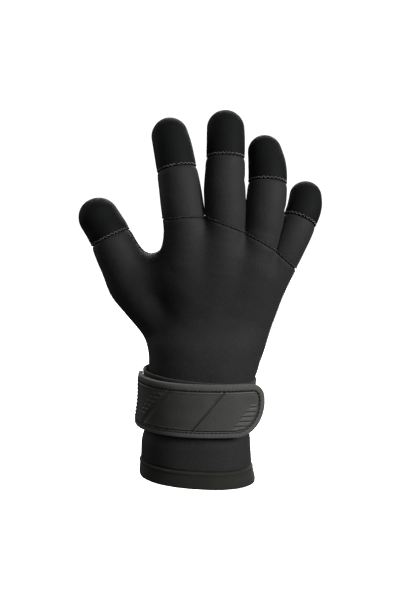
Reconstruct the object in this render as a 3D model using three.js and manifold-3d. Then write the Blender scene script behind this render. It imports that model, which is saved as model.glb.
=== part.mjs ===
// A diving glove of foam neoprene, standing as it does on a raised right hand.
// Millimetres, +Z up the hand, the back of the hand towards -Y and the thumb towards -X.
// The origin is the middle of the cuff's opening, where the hand goes in.
import * as THREE from 'three';
import { mergeVertices } from 'three/addons/utils/BufferGeometryUtils.js';
import Module from 'manifold-3d';

const wasm = await Module();
wasm.setup();

// Foam panels: their thickness, and the room left where two of them are glued and sewn
const WALL = 4;
const SEAM_GAP = 0.3;

// Palm: width over the knuckles, wrist to middle knuckle, and thickness
const PALM_WIDTH = 97;
const PALM_LENGTH = 110;
const PALM_THICKNESS = 40;

// Cuff: height of the wrist over the opening, and the section's width and depth near the hem
const WRIST_HEIGHT = 86;
const CUFF_WIDTH = 86;
const CUFF_DEPTH = 70;
const CUFF_SQUARENESS = 2.2;
const OPENING_SLANT = 3.8;

// Hem: a band sewn round the opening, a little proud of the cuff
const HEM_HEIGHT = 12.5;
const HEM_PROUD = 0.8;

// Digits: from the knuckle to the end, across the middle, lean from upright, and the tip panel's length
const INDEX_LENGTH = 82;
const INDEX_WIDTH = 30.6;
const INDEX_LEAN = -10;
const INDEX_TIP = 39;
const MIDDLE_LENGTH = 81.7;
const MIDDLE_WIDTH = 29.5;
const MIDDLE_LEAN = 0;
const MIDDLE_TIP = 35;
const RING_LENGTH = 70;
const RING_WIDTH = 29;
const RING_LEAN = 3;
const RING_TIP = 36;
const LITTLE_LENGTH = 60;
const LITTLE_WIDTH = 26.5;
const LITTLE_LEAN = 24;
const LITTLE_TIP = 29;
const THUMB_LENGTH = 86.5;
const THUMB_WIDTH = 32;
const THUMB_LEAN = -30;
const THUMB_TIP = 33;

// Under band: the elastic ring round the wrist that the strap is sewn to
const BAND_LEVEL = 62;
const BAND_HEIGHT = 38;
const BAND_SLOPE = -0.1;
const BAND_STAND_OFF = 2.8;
const BAND_THICKNESS = 1.6;
const BAND_CLEARANCE = 0.4;
const LEVEL_STEP = 1;

// Strap: its middle's height over the opening, width of the tape, thicknesses and slope across the wrist
const STRAP_LEVEL = 60;
const STRAP_HEIGHT = 40.5;
const STRAP_SLOPE = -0.035;
const STRAP_CLEARANCE = 0.5;
const BACKING_THICKNESS = 1.8;
const FACE_THICKNESS = 1;
const BINDING_WIDTH = 5;
const BINDING_THICKNESS = 0.9;
const TAIL_START = 12;
const TAIL_LENGTH = 39.8;
const TAIL_RADIUS = 120;
const STRAP_ANCHOR_TURN = 174;
const STRAP_FLARE = 1.6;
const FLARE_LENGTH = 14;

// Sections round the wrist, along the strap and round its free end, and points on the curves they follow
const ROUND_STEPS = 36;
const STRAP_STEP = 9;
const END_STEPS = 7;
const ROUTE_STEPS = 120;
const TAIL_STEPS = 12;
const SEAM_STEPS = 28;

// Moulded relief on the strap's face: a slanted groove, and two fans of short ribs along slanted lines.
// A fan's line is placed where it crosses the strap's middle.
const RELIEF_SLANT = 0.8;
const GROOVE_WIDTH = 1.2;
const GROOVE_DEPTH = 0.6;
const GROOVE_FROM_END = 32.5;
const RIB_COUNT = 6;
const RIB_PITCH = 3.6;
const RIB_WIDTH = 1.3;
const RIB_HEIGHT = 0.7;
const END_FAN_FROM_END = 15.8;
const END_FAN_TOP = 4;
const END_FAN_REACH = 9.5;
const END_FAN_MARGIN = 1.5;
const START_FAN_FROM_START = 28.4;
const START_FAN_TOP = 11;
const START_FAN_REACH = 7;

// Mesh cells of the soft forms, outside and inside
const PALM_CELL = 8;
const PALM_HOLLOW_CELL = 10.5;
const DIGIT_CELL = 6.3;
const DIGIT_HOLLOW_CELL = 8;
const FINER = 0.96;

// How far the soft forms run past the seams that cut them, and how far the cutting solids reach
const ROOT = 4;
const REACH = 400;

// Balls between two rows of a digit's core, along the whole hand and near a tip seam
const BALL_STEPS = 4;
const TIP_BALL_STEPS = 8;

// Each digit's core. In the palm: shares of the palm's width, thickness and length, girth of its thickness.
// In the digit: shares of its length along its lean, aside from it and towards the palm, girth of its width.
const DIGITS = {
  index: {
    length: INDEX_LENGTH,
    width: INDEX_WIDTH,
    lean: INDEX_LEAN,
    tip: INDEX_TIP,
    palm: [
      { across: -0.04, depth: 0.1, up: 0.18, girth: 0.98 },
      { across: -0.055, depth: 0.025, up: 0.46, girth: 0.99 },
      { across: -0.073, depth: -0.05, up: 0.73, girth: 0.94 },
    ],
    knuckle: { across: -0.087, up: 0.96 },
    finger: [
      { along: 0, aside: 0, curl: -0.01, girth: 1.08 },
      { along: 0.29, aside: 0.008, curl: 0.025, girth: 1.03 },
      { along: 0.54, aside: 0.012, curl: 0.1, girth: 0.98 },
      { along: 0.715, aside: 0.01, curl: 0.17, girth: 0.95 },
      { along: 0.825, aside: 0, curl: 0.23, girth: 0.9 },
    ],
  },
  middle: {
    length: MIDDLE_LENGTH,
    width: MIDDLE_WIDTH,
    lean: MIDDLE_LEAN,
    tip: MIDDLE_TIP,
    palm: [
      { across: 0.08, depth: 0.1, up: 0.14, girth: 1.02 },
      { across: 0.125, depth: 0.025, up: 0.46, girth: 1.01 },
      { across: 0.177, depth: -0.075, up: 0.745, girth: 0.91 },
    ],
    knuckle: { across: 0.214, up: 1 },
    finger: [
      { along: 0, aside: 0, curl: -0.025, girth: 1.07 },
      { along: 0.29, aside: 0, curl: 0.025, girth: 1.05 },
      { along: 0.58, aside: 0.005, curl: 0.11, girth: 0.98 },
      { along: 0.73, aside: 0.006, curl: 0.17, girth: 0.97 },
      { along: 0.83, aside: 0.006, curl: 0.22, girth: 0.95 },
    ],
  },
  ring: {
    length: RING_LENGTH,
    width: RING_WIDTH,
    lean: RING_LEAN,
    tip: RING_TIP,
    palm: [
      { across: 0.196, depth: 0.1, up: 0.106, girth: 1.02 },
      { across: 0.319, depth: 0.05, up: 0.426, girth: 0.94 },
      { across: 0.431, depth: -0.025, up: 0.73, girth: 0.82 },
    ],
    knuckle: { across: 0.5, up: 0.946 },
    finger: [
      { along: 0, aside: 0, curl: 0, girth: 0.985 },
      { along: 0.29, aside: 0.025, curl: 0.057, girth: 1.04 },
      { along: 0.56, aside: 0.03, curl: 0.157, girth: 1 },
      { along: 0.69, aside: 0.017, curl: 0.23, girth: 0.97 },
      { along: 0.8, aside: -0.006, curl: 0.3, girth: 0.88 },
    ],
  },
  little: {
    length: LITTLE_LENGTH,
    width: LITTLE_WIDTH,
    lean: LITTLE_LEAN,
    tip: LITTLE_TIP,
    palm: [
      { across: 0.26, depth: 0.125, up: 0.07, girth: 0.98 },
      { across: 0.41, depth: 0.1, up: 0.317, girth: 0.83 },
      { across: 0.523, depth: 0.075, up: 0.543, girth: 0.73 },
    ],
    knuckle: { across: 0.637, up: 0.75 },
    finger: [
      { along: 0, aside: 0.02, curl: 0.05, girth: 1.02 },
      { along: 0.33, aside: 0.042, curl: 0.1, girth: 1 },
      { along: 0.6, aside: 0.046, curl: 0.2, girth: 0.98 },
      { along: 0.72, aside: 0.034, curl: 0.27, girth: 0.97 },
      { along: 0.8, aside: 0.01, curl: 0.33, girth: 0.92 },
    ],
  },
  thumb: {
    length: THUMB_LENGTH,
    width: THUMB_WIDTH,
    lean: THUMB_LEAN,
    tip: THUMB_TIP,
    palm: [
      { across: -0.086, depth: 0.2, up: 0.134, girth: 1.02 },
      { across: -0.25, depth: 0.25, up: 0.293, girth: 0.93 },
    ],
    knuckle: { across: -0.398, up: 0.445 },
    finger: [
      { along: 0, aside: 0, curl: 0.127, girth: 1.14 },
      { along: 0.23, aside: -0.014, curl: 0.14, girth: 1.1 },
      { along: 0.446, aside: -0.008, curl: 0.162, girth: 1.06 },
      { along: 0.64, aside: 0.006, curl: 0.197, girth: 0.99 },
      { along: 0.74, aside: 0.003, curl: 0.23, girth: 0.97 },
      { along: 0.82, aside: -0.003, curl: 0.254, girth: 0.965 },
    ],
  },
};

// The web of foam between thumb and index finger, in the palm's shares
const WEB = [
  { across: -0.538, depth: 0.325, up: 0.546, girth: 0.53 },
  { across: -0.365, depth: 0.225, up: 0.61, girth: 0.755 },
  { across: -0.193, depth: 0.075, up: 0.64, girth: 0.825 },
];

// The cuff's sections: height in shares of the wrist's, sides of its width, front and back of its depth
const CUFF_SECTIONS = [
  { up: -0.05, left: -0.506, right: 0.51, front: -0.497, back: 0.5 },
  { up: 0.15, left: -0.5, right: 0.479, front: -0.48, back: 0.484 },
  { up: 0.33, left: -0.493, right: 0.469, front: -0.464, back: 0.464 },
  { up: 0.49, left: -0.452, right: 0.457, front: -0.436, back: 0.436 },
  { up: 0.72, left: -0.419, right: 0.465, front: -0.414, back: 0.421 },
  { up: 1, left: -0.42, right: 0.497, front: -0.4, back: 0.429 },
  { up: 1.21, left: -0.405, right: 0.525, front: -0.371, back: 0.421 },
  { up: 1.4, left: -0.35, right: 0.53, front: -0.329, back: 0.4 },
];

// The seam below the fingers, and the seam along the sides of the hand, in the palm's shares
const KNUCKLE_SEAM = [
  { across: -0.36, up: 1.005 },
  { across: -0.16, up: 1.04 },
  { across: -0.05, up: 1.05 },
  { across: 0.09, up: 1.035 },
  { across: 0.235, up: 0.992 },
  { across: 0.37, up: 0.935 },
  { across: 0.57, up: 0.834 },
  { across: 0.83, up: 0.62 },
];
const SIDE_SEAM = [
  { across: -2, depth: 1.3 },
  { across: -0.1, depth: 0.06 },
  { across: 2, depth: 0.06 },
];

// How softly the digits run into each other: in the palm, in the fingers, and where that changes
const BLEND_PALM = 4.6;
const BLEND_FINGER = 0.7;
const BLEND_ABOVE = 6;
const BLEND_BELOW = 20;

function palmPoint(row) {
  return new THREE.Vector3(
    row.across * PALM_WIDTH,
    row.depth * PALM_THICKNESS,
    WRIST_HEIGHT + row.up * PALM_LENGTH,
  );
}

function palmBall(row) {
  return { at: palmPoint(row), radius: (row.girth * PALM_THICKNESS) / 2 };
}

function fingerBall(digit, row) {
  const lean = THREE.MathUtils.degToRad(digit.lean);
  const along = new THREE.Vector3(Math.sin(lean), 0, Math.cos(lean));
  const aside = new THREE.Vector3(Math.cos(lean), 0, -Math.sin(lean));
  const at = palmPoint({ ...digit.knuckle, depth: 0 })
    .addScaledVector(along, row.along * digit.length)
    .addScaledVector(aside, row.aside * digit.length);
  at.y = row.curl * digit.length;
  return { at, radius: (row.girth * digit.width) / 2 };
}

// Balls on a smooth curve through the given ones
function smoothBalls(balls, steps) {
  const curve = new THREE.CatmullRomCurve3(balls.map((ball) => ball.at));
  const smooth = [];
  for (let i = 0; i <= (balls.length - 1) * steps; i += 1) {
    const index = Math.min(Math.floor(i / steps), balls.length - 2);
    const share = i / steps - index;
    const radius = THREE.MathUtils.lerp(balls[index].radius, balls[index + 1].radius, share);
    smooth.push({ at: curve.getPoint(i / ((balls.length - 1) * steps)), radius });
  }
  return smooth;
}

// The links between neighbouring balls, ready for distances
function chainOf(balls) {
  return balls.slice(1).map((ball, i) => {
    const start = balls[i];
    const span = ball.at.clone().sub(start.at);
    return { start: start.at, span, square: span.lengthSq(), from: start.radius, to: ball.radius };
  });
}

function chainDistance(chain, point) {
  let best = Infinity;
  for (const { start, span, square, from, to } of chain) {
    const dx = point.x - start.x;
    const dy = point.y - start.y;
    const dz = point.z - start.z;
    const share = THREE.MathUtils.clamp((dx * span.x + dy * span.y + dz * span.z) / square, 0, 1);
    const away = Math.hypot(dx - share * span.x, dy - share * span.y, dz - share * span.z);
    best = Math.min(best, away - from - share * (to - from));
  }
  return best;
}

const chains = {};
for (const [name, digit] of Object.entries(DIGITS)) {
  const palm = digit.palm.map(palmBall);
  const finger = digit.finger.map((row) => fingerBall(digit, row));
  chains[name] = chainOf(smoothBalls([...palm, ...finger], BALL_STEPS));
}
chains.web = chainOf(smoothBalls(WEB.map(palmBall), BALL_STEPS));

// The cuff's section at a height, smooth through its rows
function cuffSection(height) {
  const rows = CUFF_SECTIONS;
  const up = THREE.MathUtils.clamp(height / WRIST_HEIGHT, rows[0].up, rows.at(-1).up);
  const i = Math.max(0, rows.findLastIndex((row, k) => row.up <= up && k < rows.length - 1));
  const straight = (up - rows[i].up) / (rows[i + 1].up - rows[i].up);
  const soft = THREE.MathUtils.smoothstep(up, rows[i].up, rows[i + 1].up);
  const share = (straight + soft) / 2;
  const mix = (key, size) => size * THREE.MathUtils.lerp(rows[i][key], rows[i + 1][key], share);
  return {
    left: mix('left', CUFF_WIDTH),
    right: mix('right', CUFF_WIDTH),
    front: mix('front', CUFF_DEPTH),
    back: mix('back', CUFF_DEPTH),
  };
}

// Distance to a squarish oval with the given sides
function ovalDistance(section, x, y) {
  const halfWidth = (section.right - section.left) / 2;
  const halfDepth = (section.back - section.front) / 2;
  const u = Math.abs(x - (section.left + section.right) / 2) / halfWidth + 1e-6;
  const v = Math.abs(y - (section.front + section.back) / 2) / halfDepth + 1e-6;
  const reach = (u ** CUFF_SQUARENESS + v ** CUFF_SQUARENESS) ** (1 / CUFF_SQUARENESS);
  const slopeX = (u / reach) ** (CUFF_SQUARENESS - 1) / halfWidth;
  const slopeY = (v / reach) ** (CUFF_SQUARENESS - 1) / halfDepth;
  return (reach - 1) / Math.hypot(slopeX, slopeY);
}

function cuffDistance(point) {
  const side = ovalDistance(cuffSection(point.z), point.x, point.y);
  const over = point.z - CUFF_SECTIONS.at(-1).up * WRIST_HEIGHT;
  return over > 0 ? Math.hypot(Math.max(side, 0), over) : Math.max(side, over);
}

// The knuckle seam as points from left to right, and how far a point lies above it
const knuckleCurve = new THREE.SplineCurve(
  KNUCKLE_SEAM.map((row) => {
    const at = palmPoint({ ...row, depth: 0 });
    return new THREE.Vector2(at.x, at.z);
  }),
);
const knucklePoints = knuckleCurve.getPoints(SEAM_STEPS);

function aboveKnuckles(point) {
  const found = knucklePoints.findIndex((corner) => corner.x > point.x);
  const last = knucklePoints.length - 1;
  const i = found < 0 ? last : Math.max(found, 1);
  const a = knucklePoints[i - 1];
  const b = knucklePoints[i];
  const x = THREE.MathUtils.clamp(point.x, knucklePoints[0].x, knucklePoints[last].x);
  const slope = (b.y - a.y) / (b.x - a.x);
  return (point.z - a.y - slope * (x - a.x)) / Math.hypot(1, slope);
}

// The glove's outside as one soft form: below zero inside it
function gloveDistance(point) {
  const height = aboveKnuckles(point);
  const inPalm = THREE.MathUtils.smoothstep(-height, -BLEND_ABOVE, BLEND_BELOW);
  const blend = THREE.MathUtils.lerp(BLEND_FINGER, BLEND_PALM, inPalm);
  const distances = Object.values(chains).map((chain) => chainDistance(chain, point));
  distances.push(cuffDistance(point));
  const nearest = Math.min(...distances);
  const sum = distances.reduce((total, value) => total + Math.exp((nearest - value) / blend), 0);
  return nearest - blend * Math.log(sum);
}

// How far a point lies past the surface halfway between a digit and its neighbours
function pastHalfway(name, point) {
  const own = chainDistance(chains[name], point);
  let other = Infinity;
  for (const key of Object.keys(chains)) {
    if (key !== name) other = Math.min(other, chainDistance(chains[key], point));
  }
  return (own - other) / 2;
}

function manifoldOf(positions, indices) {
  const mesh = new wasm.Mesh({
    numProp: 3,
    vertProperties: new Float32Array(positions),
    triVerts: new Uint32Array(indices),
  });
  return new wasm.Manifold(mesh);
}

function solidOf(geometry) {
  const bare = geometry.clone();
  bare.deleteAttribute('normal');
  bare.deleteAttribute('uv');
  const merged = mergeVertices(bare, 1e-5);
  return manifoldOf(merged.attributes.position.array, merged.index.array);
}

function geometryOf(solid) {
  const { numProp, vertProperties, triVerts } = solid.getMesh();
  const positions = new Float32Array((vertProperties.length / numProp) * 3);
  for (let i = 0; i < positions.length / 3; i += 1) {
    for (let axis = 0; axis < 3; axis += 1) positions[3 * i + axis] = vertProperties[numProp * i + axis];
  }
  const geometry = new THREE.BufferGeometry();
  geometry.setAttribute('position', new THREE.BufferAttribute(positions, 3));
  geometry.setIndex([...triVerts]);
  geometry.computeVertexNormals();
  return geometry;
}

// A distance sampled at the corners of cubic cells, with a cell to spare round the given box
function sampleGrid(distance, box, cell) {
  const low = box.min.clone().subScalar(cell);
  const steps = box.max.clone().addScalar(cell).sub(low).divideScalar(cell).ceil();
  const row = steps.x + 1;
  const layer = row * (steps.y + 1);
  const values = new Float64Array(layer * (steps.z + 1));
  const place = (i, j, k) => i + j * row + k * layer;
  const point = new THREE.Vector3();
  for (let k = 0; k <= steps.z; k += 1) {
    for (let j = 0; j <= steps.y; j += 1) {
      for (let i = 0; i <= steps.x; i += 1) {
        point.set(low.x + i * cell, low.y + j * cell, low.z + k * cell);
        values[place(i, j, k)] = distance(point);
      }
    }
  }
  return { low, steps, values, place };
}

// Whether some cell face has its inside corners only diagonally opposite, where a skin would pinch
function pinches({ steps, values, place }) {
  const alongX = place(1, 0, 0);
  const alongY = place(0, 1, 0);
  const alongZ = place(0, 0, 1);
  const pairs = [[alongX, alongY], [alongY, alongZ], [alongZ, alongX]];
  for (let k = 0; k < steps.z; k += 1) {
    for (let j = 0; j < steps.y; j += 1) {
      for (let i = 0; i < steps.x; i += 1) {
        const here = place(i, j, k);
        for (const [a, b] of pairs) {
          const corner = values[here] < 0;
          const opposite = values[here + a + b] < 0;
          const first = values[here + a] < 0;
          const second = values[here + b] < 0;
          if (corner === opposite && first === second && corner !== first) return true;
        }
      }
    }
  }
  return false;
}

// A closed skin round the points where a distance is below zero: one corner in each cell that the
// surface crosses, moved onto the surface, and one face for each grid edge that it crosses.
// The cells are made a little finer until none pinches.
function formSolid(distance, box, coarsest) {
  let cell = coarsest;
  let grid = sampleGrid(distance, box, cell);
  while (pinches(grid)) {
    cell *= FINER;
    grid = sampleGrid(distance, box, cell);
  }
  const { low, steps, values, place } = grid;

  const corners = new Int32Array(values.length).fill(-1);
  const positions = [];
  for (let k = 0; k < steps.z; k += 1) {
    for (let j = 0; j < steps.y; j += 1) {
      for (let i = 0; i < steps.x; i += 1) {
        const centre = crossingCentre(grid, i, j, k);
        if (!centre) continue;
        corners[place(i, j, k)] = positions.length / 3;
        centre.multiplyScalar(cell).add(low);
        settle(centre, distance, cell);
        positions.push(centre.x, centre.y, centre.z);
      }
    }
  }

  const indices = [];
  const around = [
    { next: place(1, 0, 0), first: place(0, 1, 0), second: place(0, 0, 1) },
    { next: place(0, 1, 0), first: place(0, 0, 1), second: place(1, 0, 0) },
    { next: place(0, 0, 1), first: place(1, 0, 0), second: place(0, 1, 0) },
  ];
  for (let k = 1; k < steps.z; k += 1) {
    for (let j = 1; j < steps.y; j += 1) {
      for (let i = 1; i < steps.x; i += 1) {
        const here = place(i, j, k);
        for (const { next, first, second } of around) {
          if (values[here] < 0 === values[here + next] < 0) continue;
          const quad = [here - first - second, here - second, here, here - first];
          if (values[here] >= 0) quad.reverse();
          pushQuad(indices, quad.map((at) => corners[at]), positions);
        }
      }
    }
  }
  return manifoldOf(positions, indices);
}

// The middle of the surface's crossings with a cell's edges, in cells, or nothing where it has none
function crossingCentre({ values, place }, i, j, k) {
  const sum = new THREE.Vector3();
  let count = 0;
  for (let edge = 0; edge < 12; edge += 1) {
    const axis = edge >> 2;
    const corner = [0, 0, 0];
    corner[(axis + 1) % 3] = edge & 1;
    corner[(axis + 2) % 3] = (edge >> 1) & 1;
    const end = [...corner];
    end[axis] = 1;
    const a = values[place(i + corner[0], j + corner[1], k + corner[2])];
    const b = values[place(i + end[0], j + end[1], k + end[2])];
    if (a < 0 === b < 0) continue;
    corner[axis] = a / (a - b);
    sum.x += i + corner[0];
    sum.y += j + corner[1];
    sum.z += k + corner[2];
    count += 1;
  }
  return count ? sum.divideScalar(count) : null;
}

// Moves a point down the slope of a distance until it lies on the surface
function settle(point, distance, cell) {
  const probe = new THREE.Vector3();
  const step = 0.05;
  for (let round = 0; round < 3; round += 1) {
    const here = distance(point);
    const slope = new THREE.Vector3();
    for (const axis of ['x', 'y', 'z']) {
      probe.copy(point);
      probe[axis] += step;
      slope[axis] = (distance(probe) - here) / step;
    }
    const travel = THREE.MathUtils.clamp(here / Math.max(slope.lengthSq(), 0.2), -cell / 4, cell / 4);
    point.addScaledVector(slope, -travel);
  }
}

// Two triangles for a quad, split along its shorter diagonal
function pushQuad(indices, [a, b, c, d], positions) {
  const span = (p, q) =>
    Math.hypot(...[0, 1, 2].map((axis) => positions[3 * p + axis] - positions[3 * q + axis]));
  if (span(a, c) <= span(b, d)) indices.push(a, b, c, a, c, d);
  else indices.push(a, b, d, b, c, d);
}

// A prism through the whole glove, along Y over an outline in X and Z
function prismAlongY(outline) {
  const shape = new THREE.Shape(outline);
  const geometry = new THREE.ExtrudeGeometry(shape, { depth: REACH, bevelEnabled: false });
  geometry.rotateX(Math.PI / 2).translate(0, REACH / 2, 0);
  return solidOf(geometry);
}

// A prism through the whole glove, along Z over an outline in X and Y
function prismAlongZ(outline) {
  const shape = new THREE.Shape(outline);
  const geometry = new THREE.ExtrudeGeometry(shape, { depth: 2 * REACH, bevelEnabled: false });
  geometry.translate(0, 0, -REACH);
  return solidOf(geometry);
}

// A large block on the far side of a plane
function blockBeyond(at, normal) {
  const geometry = new THREE.BoxGeometry(2 * REACH, 2 * REACH, 2 * REACH);
  geometry.translate(0, 0, REACH);
  geometry.applyQuaternion(new THREE.Quaternion().setFromUnitVectors(new THREE.Vector3(0, 0, 1), normal));
  geometry.translate(at.x, at.y, at.z);
  return solidOf(geometry);
}

// A seam line moved sideways, and closed into an outline far above or below it
function seamOutline(points, offset, far) {
  const moved = points.map((point, i) => {
    const before = points[Math.max(i - 1, 0)];
    const after = points[Math.min(i + 1, points.length - 1)];
    const normal = new THREE.Vector2(before.y - after.y, after.x - before.x).normalize();
    return point.clone().addScaledVector(normal, offset);
  });
  const first = moved[0];
  const last = moved.at(-1);
  return [
    new THREE.Vector2(-REACH, far),
    new THREE.Vector2(-REACH, first.y),
    ...moved,
    new THREE.Vector2(REACH, last.y),
    new THREE.Vector2(REACH, far),
  ];
}

const aboveSeam = prismAlongY(seamOutline(knucklePoints, SEAM_GAP / 2, REACH));
const belowSeam = prismAlongY(seamOutline(knucklePoints, -SEAM_GAP / 2, -REACH));

const sidePoints = SIDE_SEAM.map(
  (row) => new THREE.Vector2(row.across * PALM_WIDTH, row.depth * PALM_THICKNESS),
);
const backHalf = prismAlongZ(seamOutline(sidePoints, -SEAM_GAP / 2, -REACH));
const palmHalf = prismAlongZ(seamOutline(sidePoints, SEAM_GAP / 2, REACH));

// The planes of the opening and of the seam over the hem
const openingNormal = new THREE.Vector3(
  Math.sin(THREE.MathUtils.degToRad(OPENING_SLANT)),
  0,
  Math.cos(THREE.MathUtils.degToRad(OPENING_SLANT)),
);
const overHemSeam = blockBeyond(
  openingNormal.clone().multiplyScalar(HEM_HEIGHT + SEAM_GAP),
  openingNormal,
);

// Where a digit's tip panel starts: a point on its core and the direction of the core there
function tipSeam(name) {
  const digit = DIGITS[name];
  const balls = smoothBalls(digit.finger.map((row) => fingerBall(digit, row)), TIP_BALL_STEPS);
  const target = digit.length - digit.tip;
  const start = balls[0].at;
  const end = fingerBall(digit, { along: 1, aside: 0, curl: 0, girth: 1 }).at;
  const along = end.sub(start).setY(0).normalize();
  const reached = (ball) => ball.at.clone().sub(start).setY(0).dot(along);
  const i = Math.max(1, balls.findIndex((ball) => reached(ball) >= target));
  const share = (target - reached(balls[i - 1])) / (reached(balls[i]) - reached(balls[i - 1]));
  const at = balls[i - 1].at.clone().lerp(balls[i].at, share);
  const normal = balls[i].at.clone().sub(balls[i - 1].at).normalize();
  return { at, normal };
}

// The digit from its seam outwards, split at its tip seam into a sleeve and a closed tip
function splitAtTip(shell, name) {
  const { at, normal } = tipSeam(name);
  const half = normal.clone().multiplyScalar(SEAM_GAP / 2);
  return {
    lower: shell.subtract(blockBeyond(at.clone().sub(half), normal)),
    tip: shell.intersect(blockBeyond(at.clone().add(half), normal)),
  };
}

// Corners of a box round a digit's balls, from a height up
function digitBox(name, margin) {
  const digit = DIGITS[name];
  const box = new THREE.Box3();
  for (const row of digit.finger) {
    const { at, radius } = fingerBall(digit, row);
    box.expandByPoint(at.clone().addScalar(radius + margin));
    box.expandByPoint(at.clone().addScalar(-radius - margin));
  }
  return box;
}

// A finger's hollow shell, from a little below the knuckle seam
function fingerShell(name) {
  const box = digitBox(name, 3 * ROOT);
  const outside = (point) =>
    Math.max(
      gloveDistance(point),
      pastHalfway(name, point) + SEAM_GAP / 2,
      -aboveKnuckles(point) - ROOT,
    );
  const hollow = (point) =>
    Math.max(
      gloveDistance(point) + WALL,
      pastHalfway(name, point) + WALL / 2,
      -aboveKnuckles(point) - 2 * ROOT,
    );
  const outer = formSolid(outside, box, DIGIT_CELL);
  const inner = formSolid(hollow, box, DIGIT_HOLLOW_CELL);
  return outer.subtract(inner).intersect(aboveSeam);
}

// The thumb's hollow end
function thumbShell() {
  const box = digitBox('thumb', 3 * ROOT);
  const { at, normal } = tipSeam('thumb');
  const below = (point) => Math.max(-point.clone().sub(at).dot(normal), pastHalfway('thumb', point) + ROOT);
  const outside = (point) => Math.max(gloveDistance(point), below(point) - ROOT);
  const hollow = (point) => Math.max(gloveDistance(point) + WALL, below(point) - 2 * ROOT);
  const outer = formSolid(outside, box, DIGIT_CELL);
  return outer.subtract(formSolid(hollow, box, DIGIT_HOLLOW_CELL));
}

// Palm, thumb tube and cuff as one hollow shell, open at the knuckles and below the hem
function palmShell() {
  const box = digitBox('thumb', 3 * ROOT);
  for (const name of Object.keys(DIGITS)) {
    for (const row of DIGITS[name].palm) {
      const { at, radius } = palmBall(row);
      box.expandByPoint(at.clone().addScalar(radius + ROOT));
      box.expandByPoint(at.clone().subScalar(radius + ROOT));
    }
  }
  box.expandByPoint(new THREE.Vector3(-CUFF_WIDTH / 2, -CUFF_DEPTH / 2, -2 * ROOT).subScalar(ROOT));
  box.expandByPoint(new THREE.Vector3(CUFF_WIDTH / 2, CUFF_DEPTH / 2, 0).addScalar(ROOT));
  for (const point of knucklePoints) box.expandByPoint(new THREE.Vector3(point.x, 0, point.y + 2 * ROOT));
  const outside = (point) => Math.max(gloveDistance(point), aboveKnuckles(point) - ROOT, -point.z - ROOT);
  const hollow = (point) =>
    Math.max(gloveDistance(point) + WALL, aboveKnuckles(point) - 2 * ROOT, -point.z - 2 * ROOT);
  const outer = formSolid(outside, box, PALM_CELL);
  return outer.subtract(formSolid(hollow, box, PALM_HOLLOW_CELL));
}

// The widest section of the cuff between two heights at its middle, which slope across the wrist
function widestSection(from, to, slope) {
  const widest = cuffSection(from);
  for (let height = from; height <= to; height += LEVEL_STEP) {
    const { left, right, front, back } = cuffSection(height);
    widest.left = Math.min(widest.left, cuffSection(height + slope * left).left);
    widest.right = Math.max(widest.right, cuffSection(height + slope * right).right);
    widest.front = Math.min(widest.front, front);
    widest.back = Math.max(widest.back, back);
  }
  return grownSection(widest, BAND_CLEARANCE);
}

function grownSection(section, by) {
  return {
    left: section.left - by,
    right: section.right + by,
    front: section.front - by,
    back: section.back + by,
  };
}

// The section that holds two others
function outermost(one, other) {
  return {
    left: Math.min(one.left, other.left),
    right: Math.max(one.right, other.right),
    front: Math.min(one.front, other.front),
    back: Math.max(one.back, other.back),
  };
}

function ovalPoint(section, angle) {
  const power = 2 / CUFF_SQUARENESS;
  const cos = Math.cos(angle);
  const sin = Math.sin(angle);
  const x = Math.sign(cos) * Math.abs(cos) ** power;
  const y = Math.sign(sin) * Math.abs(sin) ** power;
  return new THREE.Vector3(
    (section.left + section.right) / 2 + (x * (section.right - section.left)) / 2,
    (section.front + section.back) / 2 + (y * (section.back - section.front)) / 2,
    0,
  );
}

// The under band's inside: snug at its lower edge, and off the thumb's side of the wrist at its upper one
const bandLow = BAND_LEVEL - BAND_HEIGHT / 2;
const bandHigh = BAND_LEVEL + BAND_HEIGHT / 2;
const bandFoot = widestSection(bandLow, BAND_LEVEL, BAND_SLOPE);
const bandHead = widestSection(BAND_LEVEL, bandHigh, BAND_SLOPE);
bandHead.left -= BAND_STAND_OFF;

// The strap's inside, clear of the band and of the cuff
const strapLow = STRAP_LEVEL - STRAP_HEIGHT / 2;
const strapHigh = STRAP_LEVEL + STRAP_HEIGHT / 2;
const strapInside = outermost(
  grownSection(outermost(bandFoot, bandHead), BAND_THICKNESS + STRAP_CLEARANCE),
  widestSection(strapLow, strapHigh, STRAP_SLOPE),
);

// Faces that join four-cornered sections in a row, with ends or round in a ring.
// Front and back are split along the same diagonal, so that layers keep their distance.
function loopIndices(count, closed) {
  const indices = [];
  for (let i = 0; i < (closed ? count : count - 1); i += 1) {
    const here = 4 * i;
    const next = 4 * ((i + 1) % count);
    for (let side = 0; side < 4; side += 1) {
      const [a, b, c, d] = [here + side, next + side, next + ((side + 1) % 4), here + ((side + 1) % 4)];
      if (side < 3) indices.push(a, b, c, a, c, d);
      else indices.push(a, b, d, b, c, d);
    }
  }
  if (!closed) {
    const last = 4 * (count - 1);
    indices.push(0, 1, 2, 0, 2, 3);
    indices.push(last, last + 2, last + 1, last, last + 3, last + 2);
  }
  return indices;
}

// A strip that follows stations round the wrist. Each station gives its foot, its outward normal and
// the strip's low and high edge there, and the strip lies between two distances from the foot.
// Its lower edge flares out by a little more.
function strip(stations, from, to, closed = false) {
  const positions = [];
  for (const { foot, normal, low, high, flare } of stations) {
    for (const [away, edge] of [[from + flare, low], [to + flare, low], [to, high], [from, high]]) {
      const x = foot.x + away * normal.x;
      const y = foot.y + away * normal.y;
      positions.push(x, y, foot.z + edge);
    }
  }
  return manifoldOf(positions, loopIndices(stations.length, closed));
}

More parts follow.
